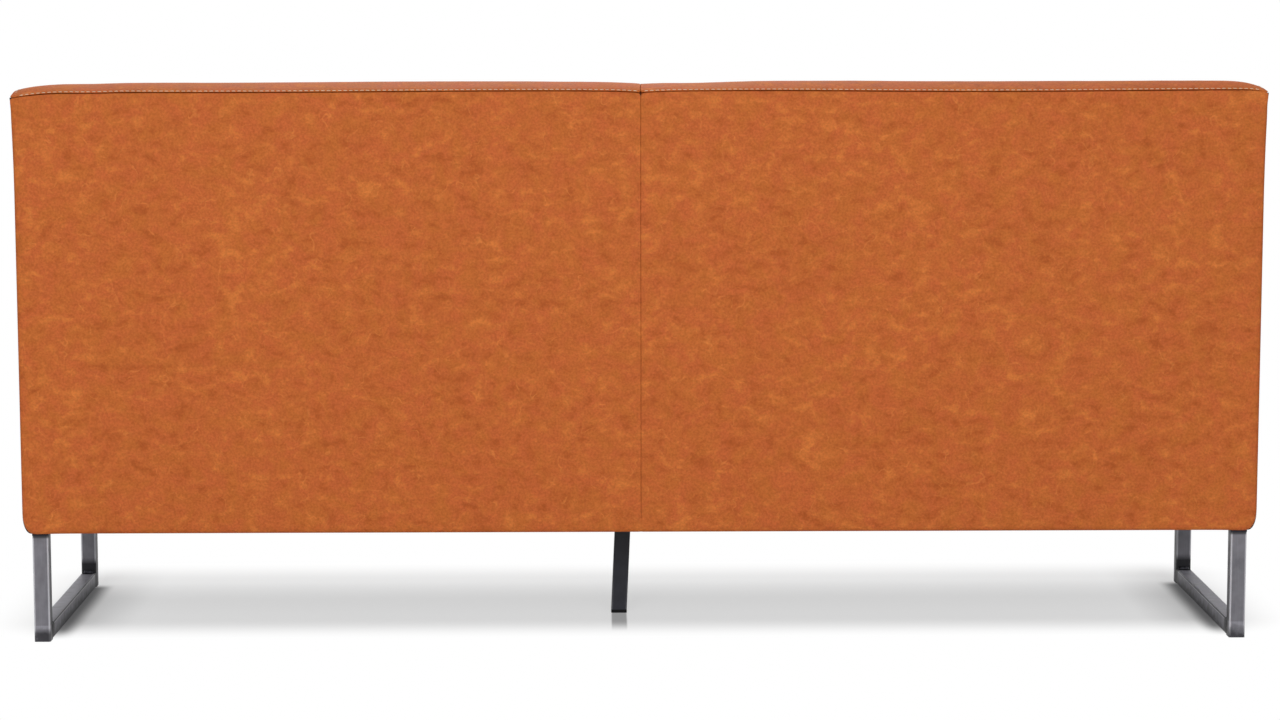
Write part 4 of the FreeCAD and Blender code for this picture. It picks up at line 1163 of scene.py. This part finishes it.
def seam_shade_ribbon(name, sign):
    """Tape in a rear side seam, almost black as painted shade for the seam's dark gap, its width along Y:
    down the edge, round the corner and inwards.
    """
    size = sizes()
    width, thick = 4 * MM, 4 * MM
    sunk, raised, reach = 3 * MM, -1.2 * MM, 30 * MM
    behind, tail = 2.5 * MM, 20 * MM
    bend, tall = 0.6 * size.corner_round, 0.78 * size.corner_height
    y = REAR - size.edge_round - behind
    low = BASE - size.edge_sag + thick / 2
    edge = HALF_WIDTH + float(flare(BASE)) + size.edge_swell - thick / 2
    top = panel_top(sign * HALF_WIDTH)
    line = []
    for z in np.linspace(top + 2 * MM, low + tall + 70 * MM, 60):
        out = raised - (raised + sunk) * float(eased((top - z) / reach))
        line.append((HALF_WIDTH + float(flare(z)) + out, REAR - edge_radius(top - z) - behind, z))
    line.append((edge - 0.4 * MM, y, low + tall + tail))
    for angle in np.linspace(0, math.pi / 2, 15):
        line.append((edge - bend * (1 - math.cos(angle)), y, low + tall * (1 - math.sin(angle))))
    line.append((edge - bend - tail, y, low))
    spine = [Vector((sign * x, y, z)) for x, y, z in line[::sign]]
    rings = []
    for k, spot in enumerate(spine):
        along = (spine[min(len(spine) - 1, k + 1)] - spine[max(0, k - 1)]).normalized()
        out = Vector((-along.z, 0, along.x)) * (thick / 2)
        half = Vector((0, width / 2, 0))
        rings.append([spot - half - out, spot + half - out, spot + half + out, spot - half + out])
    return tube_piece(name, [(rings, False)], seam_shade_tape)


# Legs

def weld_rings(y, z, y_way, z_way, x, width):
    """Rings of a rippled fillet bead across a tube, in the inside corner of two pieces."""
    rows, arcs = 29, 5
    pitch = 2.2 * MM
    rings = []
    for i in range(rows):
        share = i / (rows - 1)
        ripple = 0.12 * math.sin(2 * math.pi * share * width / pitch) + 0.06 * math.sin(9.1 * share + y)
        taper = min(1.0, 6 * min(share, 1 - share) + 0.25)
        across = x + (share - 0.5) * width
        ring = []
        for k in range(arcs + 1):
            angle = math.pi / 2 * k / arcs
            reach = WELD_LEG * (1 + ripple) * taper * (0.72 + 0.28 * abs(math.cos(2 * angle)))
            ring.append((across, y + y_way * reach * math.cos(angle), z + z_way * reach * math.sin(angle)))
        rings.append(ring + [(across, y, z)])
    return rings


def weld_beads():
    """The beads between the floor rails, mounting strips and uprights of both sleds."""
    width = TUBE_HIGH.x - TUBE_LOW.x - 2 * TUBE_CORNER
    middle = (TUBE_LOW.x + TUBE_HIGH.x) / 2
    tubes = []
    for _, sign in SIDES:
        for y, y_way in ((TUBE_HIGH.y, -1), (TUBE_LOW.y, 1)):
            for z, z_way in ((TUBE_HIGH.z, 1), (STRIP_LOW.z, -1)):
                rings = weld_rings(y, z, y_way, z_way, sign * middle, width)
                tubes.append((rings, y_way * z_way < 0))
    piece = tube_piece("weld_beads", tubes, dark_weld)
    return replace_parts(piece, "sled_welds")


def dress(nodes, material):
    """Gives CAD nodes a material."""
    for name in nodes:
        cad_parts[name].material_slots[0].material = finish(material)


# Underside

def sheet_grid(low, high, margin, columns, rows, z):
    """A flat grid of points over a box less a margin at each edge, and its places in X and in Y."""
    xs = np.linspace(low.x + margin, high.x - margin, columns)
    ys = np.linspace(low.y + margin, high.y - margin, rows)
    return np.stack([*np.meshgrid(xs, ys, indexing="ij"), np.full((columns, rows), z)], axis=-1), xs, ys


def dust_sheet():
    """The black sheet stapled under the body, slack between its fixings."""
    grid, xs, ys = sheet_grid(SHEET_LOW, SHEET_HIGH, 4 * MM, 121, 43, 0.0)
    plate_round, reach, lump = 46 * MM, 60 * MM, 110 * MM
    flat = grid.reshape(-1, 3)
    edge = np.minimum(np.minimum(flat[:, 0] - xs[0], xs[-1] - flat[:, 0]),
                      np.minimum(flat[:, 1] - ys[0], ys[-1] - flat[:, 1]))
    strip_middle, strip_half = (STRIP_LOW.x + STRIP_HIGH.x) / 2, (STRIP_HIGH.x - STRIP_LOW.x) / 2
    strip = np.abs(np.abs(flat[:, 0]) - strip_middle) - strip_half
    plate = np.hypot(flat[:, 0] - (PLATE_LOW.x + PLATE_HIGH.x) / 2,
                     flat[:, 1] - (PLATE_LOW.y + PLATE_HIGH.y) / 2) - plate_round
    slack = np.clip(np.minimum(np.minimum(edge, strip), plate) / reach, 0, 1)
    flat[:, 2] = SHEET_UNDER - slack * MM * (1.8 + 1.2 * soft_noise(flat, lump, 5))
    surface = welded([grid], Vector((0, 0, -1)))
    piece = piece_from("dust_sheet_cloth", surface, spunbond, subdivide=False)
    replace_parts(piece, "dust_sheet")
    staples(xs, ys)
    return piece


def staples(xs, ys):
    """Flat wire staples round the border of the dust sheet, none by the mounting strips."""
    pitch, inset, clear = 70 * MM, 9 * MM, 20 * MM
    half, wire, thick, drop = 5 * MM, 0.6 * MM, 0.4 * MM, 0.7 * MM
    spots = []
    for y in (ys[0] + inset, ys[-1] - inset):
        for k in range(int((xs[-1] - xs[0]) / pitch)):
            spots.append((xs[0] + (k + 0.5) * pitch, y, 1, 0))
    for x in (xs[0] + inset, xs[-1] - inset):
        for k in range(int((ys[-1] - ys[0]) / pitch)):
            y = ys[0] + (k + 0.5) * pitch
            if not STRIP_LOW.y - clear < y < STRIP_HIGH.y + clear:
                spots.append((x, y, 0, 1))
    tubes = []
    for x, y, ax, ay in spots:
        rings = []
        for along, down in ((-half, 0.0), (-half + wire, drop), (half - wire, drop), (half, 0.0)):
            rings.append([(x + ax * along + ay * side, y + ay * along + ax * side, SHEET_UNDER - down + up)
                          for side, up in ((-wire, 0.0), (wire, 0.0), (wire, thick), (-wire, thick))])
        tubes.append((rings, False))
    return tube_piece("sheet_staples", tubes, zinc_plate)


def felt_sheet():
    """The felt over the springs, sunk a little between them."""
    grid, xs, ys = sheet_grid(FELT_LOW, FELT_HIGH, 1 * MM, 81, 25, FELT_HIGH.z)
    sunk, lump = 0.6 * MM, 60 * MM
    flat = grid.reshape(-1, 3)
    flat[:, 2] -= sunk * (0.5 + 0.5 * soft_noise(flat, lump, 9))
    surface = welded([grid], Vector((0, 0, 1)))
    piece = piece_from("felt_sheet", surface, needle_felt, subdivide=False)
    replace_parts(piece, "seat_felt")
    return piece


# Stage

def put(name, data, spot, turn):
    """Places a lamp or camera in the scene."""
    item = bpy.data.objects.new(name, data)
    item.location = spot
    item.rotation_mode = "QUATERNION"
    item.rotation_quaternion = turn
    bpy.context.scene.collection.objects.link(item)
    return item


def area_lamp(name, spot, target, watts, side):
    """A large soft square lamp aimed at a target."""
    lamp = bpy.data.lights.new(name, "AREA")
    lamp.energy = watts
    lamp.shape = "SQUARE"
    lamp.size = side
    put(name, lamp, spot, (Vector(target) - Vector(spot)).to_track_quat("-Z", "Y"))


def white_rays(tree):
    """1 for rays that should see a white surround: from the camera, mirrored or through glass."""
    path = add(tree, "ShaderNodeLightPath").outputs
    first = figure(tree, "MAXIMUM", path["Is Camera Ray"], path["Is Glossy Ray"])
    return figure(tree, "MAXIMUM", first, path["Is Transmission Ray"])


def stretch_of(tree, value, low, high, fade_low, fade_high, soft=True):
    """1 between two places on an axis, with a fade outside each of them."""
    rise = ramp(tree, value, low - fade_low, low, soft=soft)
    fall = ramp(tree, value, high, high + fade_high, 1.0, 0.0, soft=soft)
    return figure(tree, "MULTIPLY", rise, fall)


def painted_shadow_and_reflection(tree, place):
    """Share of the painted shadow along each rail's inner side and of the painted reflection of the centre
    leg behind its foot.
    """
    spot = axes(tree, place)
    beside = stretch_of(tree, figure(tree, "ABSOLUTE", spot["X"]), TUBE_LOW.x, TUBE_HIGH.x - 6 * MM,
                        30 * MM, 4 * MM)
    along = stretch_of(tree, spot["Y"], TUBE_LOW.y, TUBE_HIGH.y - 90 * MM, 40 * MM, 90 * MM)
    rails = figure(tree, "MULTIPLY", figure(tree, "MULTIPLY", beside, along), 0.8)
    beside = stretch_of(tree, spot["X"], FOOT_LOW.x + 2 * MM, FOOT_HIGH.x - 2 * MM, 3 * MM, 3 * MM)
    along = stretch_of(tree, spot["Y"], FOOT_LOW.y, FOOT_HIGH.y + 60 * MM, 5 * MM, 90 * MM)
    foot = figure(tree, "MULTIPLY", figure(tree, "MULTIPLY", beside, along), 0.6)
    return figure(tree, "MAXIMUM", rails, foot)


def studio_floor():
    """Matt white studio floor: keeps a pale shadow under the bench and reads white elsewhere, with a painted
    shadow by the rails and a painted reflection behind the centre foot.
    """
    material, tree, shader = started("white_studio_floor")
    grit = add(tree, "ShaderNodeTexNoise", {"Scale": 6.0, "Detail": 2.0}).outputs["Fac"]
    shade(tree, shader, Base_Color=blend(tree, grit, colours().floor, "#EFEFEF"), Roughness=0.6, IOR=1.4)
    forward, inset_x, inset_y, reach = 70 * MM, 50 * MM, 120 * MM, 150 * MM
    place = add(tree, "ShaderNodeNewGeometry").outputs["Position"]
    mirrored = vector(tree, "ABSOLUTE", vector(tree, "ADD", place, (0.0, forward, 0.0)))
    past = vector(tree, "SUBTRACT", mirrored, (HALF_WIDTH - inset_x, REAR - inset_y, 0.0))
    away = vector(tree, "LENGTH", vector(tree, "MAXIMUM", past, (0.0, 0.0, 0.0)))
    # The floor by the rails keeps more of their shadow
    across = axes(tree, mirrored)["X"]
    by_rail = stretch_of(tree, across, TUBE_LOW.x, TUBE_HIGH.x, 100 * MM, 30 * MM, soft=False)
    kept = figure(tree, "MULTIPLY", by_rail, ramp(tree, away, 0.0, reach, 0.3, 0.0, soft=True))
    white = figure(tree, "SUBTRACT", ramp(tree, away, 0.0, reach, 0.56, 1.0, soft=True), kept)
    surface = shader.outputs[0]
    # The dark grey glow is the painted shadow by the rails and the painted reflection behind the centre foot
    for share, tone in ((white, "#FFFFFF"), (painted_shadow_and_reflection(tree, place), "#38383A")):
        glow = add(tree, "ShaderNodeEmission", {"Color": linear(tone), "Strength": 1.0}).outputs[0]
        seen = figure(tree, "MULTIPLY", white_rays(tree), share)
        surface = add(tree, "ShaderNodeMixShader", {0: seen, 1: surface, 2: glow}).outputs[0]
    tree.links.new(surface, tree.nodes["Material Output"].inputs["Surface"])
    return material


def studio_world(strength):
    """An even pale surround that lights the bench and looks white."""
    world = bpy.data.worlds.new("studio")
    bpy.context.scene.world = world
    world.use_nodes = True
    tree = world.node_tree
    lit = tree.nodes["Background"]
    shade(tree, lit, Color=(1, 1, 1, 1), Strength=strength)
    white = add(tree, "ShaderNodeBackground", {"Color": (1, 1, 1, 1), "Strength": 1.0}).outputs[0]
    mixed = add(tree, "ShaderNodeMixShader", {0: white_rays(tree), 1: lit.outputs[0], 2: white})
    tree.links.new(mixed.outputs[0], tree.nodes["World Output"].inputs["Surface"])


def camera():
    """The camera: behind the bench, a long lens, tipped a little down."""
    data = bpy.data.cameras.new("camera")
    data.sensor_width = 36.0
    data.lens = 90.67
    data.clip_end = 200.0
    pitch, yaw, roll = (math.radians(degrees) for degrees in (6.544, 0.7536, 0.061))
    forward = Vector((-math.sin(yaw) * math.cos(pitch), -math.cos(yaw) * math.cos(pitch), -math.sin(pitch)))
    turn = forward.to_track_quat("-Z", "Y") @ Quaternion((0, 0, 1), -roll)
    bpy.context.scene.camera = put("camera", data, (0.0625, 4.9333, 0.9504), turn)


# Operators

class BENCH_OT_outside_back(bpy.types.Operator):
    """Two flat covers over the outside of the back"""

    bl_idname = "bench.outside_back"
    bl_label = "Outside back"

    def execute(self, context):
        for side, sign in SIDES:
            nodes = [f"outside_back_cover_{side}"] + (["outside_back_padding"] if sign > 0 else [])
            corner = (sizes().corner_round, sizes().corner_height)
            flat_cover(f"outside_back_{side}", sign, REAR, 1, panel_top, edge_radius, corner, nodes)
        return {"FINISHED"}


class BENCH_OT_back_cushions(bpy.types.Operator):
    """The two halves of the padded back"""

    bl_idname = "bench.back_cushions"
    bl_label = "Back cushions"

    def execute(self, context):
        for side, sign in SIDES:
            back_cushion(f"back_cushion_{side}", sign, side)
        return {"FINISHED"}


class BENCH_OT_seat_cushions(bpy.types.Operator):
    """The two halves of the seat and their end panels"""

    bl_idname = "bench.seat_cushions"
    bl_label = "Seat cushions"

    def execute(self, context):
        for side, sign in SIDES:
            seat_cushion(f"seat_cushion_{side}", sign, side)
            seat_end(f"seat_end_{side}", sign, f"seat_end_cover_{side}")
        return {"FINISHED"}


class BENCH_OT_sides(bpy.types.Operator):
    """The side covers and the tape of painted shade in their rear seams"""

    bl_idname = "bench.sides"
    bl_label = "Sides"

    def execute(self, context):
        for side, sign in SIDES:
            side_cover(f"side_panel_{side}", sign, side)
            seam_shade_ribbon(f"seam_shade_tape_{side}", sign)
        return {"FINISHED"}


class BENCH_OT_front_border(bpy.types.Operator):
    """Two flat covers over the front of the seat box"""

    bl_idname = "bench.front_border"
    bl_label = "Front border"

    def execute(self, context):
        for side, sign in SIDES:
            nodes = [f"front_border_{side}"] + (["front_padding"] if sign > 0 else [])
            corner = (1.5 * sizes().edge_round, 2.2 * sizes().edge_round)
            flat_cover(f"front_panel_{side}", sign, FRONT, -1, border_top, even_radius, corner, nodes)
        return {"FINISHED"}


class BENCH_OT_stitching(bpy.types.Operator):
    """Topstitching along the rear top seam and the end seams"""

    bl_idname = "bench.stitching"
    bl_label = "Stitching"

    def execute(self, context):
        lean = math.radians(25)
        for side, sign in SIDES:
            back = tree_of(bpy.data.objects[f"back_cushion_{side}"])
            seat = tree_of(bpy.data.objects[f"seat_cushion_{side}"])
            crown = crown_line(sign)
            outs = np.tile((0.0, math.cos(lean), math.sin(lean)), (len(crown), 1))
            back_end, seat_side = end_lines(sign)
            stitched(f"topstitch_{side}", [(back, crown, outs), (back, back_end, outward_of(back_end)),
                                           (seat, seat_side, outward_of(seat_side))])
        return {"FINISHED"}


class BENCH_OT_sled_legs(bpy.types.Operator):
    """The welded sled legs with their strips, glides and screws"""

    bl_idname = "bench.sled_legs"
    bl_label = "Sled legs"

    def execute(self, context):
        for side, _ in SIDES:
            tubes = ("rear_upright", "front_upright", "floor_rail")
            dress([f"{side}_sled_{tube}" for tube in tubes], gunmetal)
            dress([f"{side}_sled_mount_strip"], strip_steel)
        dress(["sled_glides"], black_plastic)
        dress(["coach_screws"], zinc_plate)
        weld_beads()
        return {"FINISHED"}


class BENCH_OT_centre_leg(bpy.types.Operator):
    """The black centre leg with its foot, plate and screws"""

    bl_idname = "bench.centre_leg"
    bl_label = "Centre leg"

    def execute(self, context):
        dress(["centre_leg_tube", "centre_leg_plate"], black_lacquer)
        dress(["centre_leg_foot"], black_plastic)
        dress(["centre_leg_screws"], black_screw)
        return {"FINISHED"}


class BENCH_OT_underside(bpy.types.Operator):
    """The dust sheet and its staples"""

    bl_idname = "bench.underside"
    bl_label = "Underside"

    def execute(self, context):
        dust_sheet()
        return {"FINISHED"}


class BENCH_OT_inner_frame(bpy.types.Operator):
    """Timber, board, webbing, springs and felt inside the covers"""

    bl_idname = "bench.inner_frame"
    bl_label = "Inner frame"

    def execute(self, context):
        timber = [name for name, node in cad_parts.items()
                  if node.material_slots[0].material.name.split(".")[0] == "timber"]
        dress(timber, planed_pine)
        dress(["back_liner"], hardboard)
        dress(["back_webbing"], woven_webbing)
        dress(["seat_springs"], spring_wire)
        dress(["spring_clips", "rail_screws", "post_bolts"], zinc_plate)
        felt_sheet()
        return {"FINISHED"}


class BENCH_OT_stage(bpy.types.Operator):
    """Floor, surround, lamps and camera"""

    bl_idname = "bench.stage"
    bl_label = "Stage"

    def execute(self, context):
        context.scene.view_settings.view_transform = "Standard"
        half = 14.0
        corners = [(-half, -half, 0), (half, -half, 0), (half, half, 0), (-half, half, 0)]
        mesh = bpy.data.meshes.new("studio_floor")
        mesh.from_pydata(corners, [], [(0, 1, 2, 3)])
        mesh.materials.append(finish(studio_floor))
        floor = bpy.data.objects.new("studio_floor", mesh)
        context.scene.collection.objects.link(floor)
        studio_world(0.23)
        area_lamp("key_lamp", (1.4, 5.4, 2.4), (0.2, 0.2, 0.5), 122, 2.6)
        area_lamp("fill_lamp", (-1.4, 5.4, 2.0), (-0.2, 0.2, 0.5), 71, 2.6)
        area_lamp("front_lamp", (0.3, -3.6, 4.3), (0.0, 0.0, 0.4), 150, 2.6)
        area_lamp("top_lamp", (0.0, 0.0, 4.2), (0.0, 0.0, 0.0), 25, 3.0)
        camera()
        return {"FINISHED"}


class BENCH_PT_panel(bpy.types.Panel):
    """Lists the steps that make the bench and its studio"""

    bl_idname = "BENCH_PT_panel"
    bl_label = "Kitchen bench"
    bl_space_type = "VIEW_3D"
    bl_region_type = "UI"
    bl_category = "Bench"

    def draw(self, context):
        for step in STEPS:
            self.layout.operator(step.bl_idname)
        for group in (context.scene.bench_sizes, context.scene.bench_colours):
            for key in group.__annotations__:
                self.layout.prop(group, key)


STEPS = (
    BENCH_OT_outside_back,
    BENCH_OT_back_cushions,
    BENCH_OT_seat_cushions,
    BENCH_OT_sides,
    BENCH_OT_front_border,
    BENCH_OT_stitching,
    BENCH_OT_sled_legs,
    BENCH_OT_centre_leg,
    BENCH_OT_underside,
    BENCH_OT_inner_frame,
    BENCH_OT_stage,
)
CLASSES = (BenchSizes, BenchColours) + STEPS + (BENCH_PT_panel,)


def register():
    """Adds the bench's classes and its scene settings."""
    for item in CLASSES:
        bpy.utils.register_class(item)
    bpy.types.Scene.bench_sizes = bpy.props.PointerProperty(type=BenchSizes)
    bpy.types.Scene.bench_colours = bpy.props.PointerProperty(type=BenchColours)


def unregister():
    """Takes the bench's classes and its scene settings out again."""
    del bpy.types.Scene.bench_colours
    del bpy.types.Scene.bench_sizes
    for item in reversed(CLASSES):
        bpy.utils.unregister_class(item)


def main():
    """Makes the bench and its studio."""
    register()
    for step in STEPS:
        area, name = step.bl_idname.split(".")
        getattr(getattr(bpy.ops, area), name)()


if __name__ == "__main__":
    main()
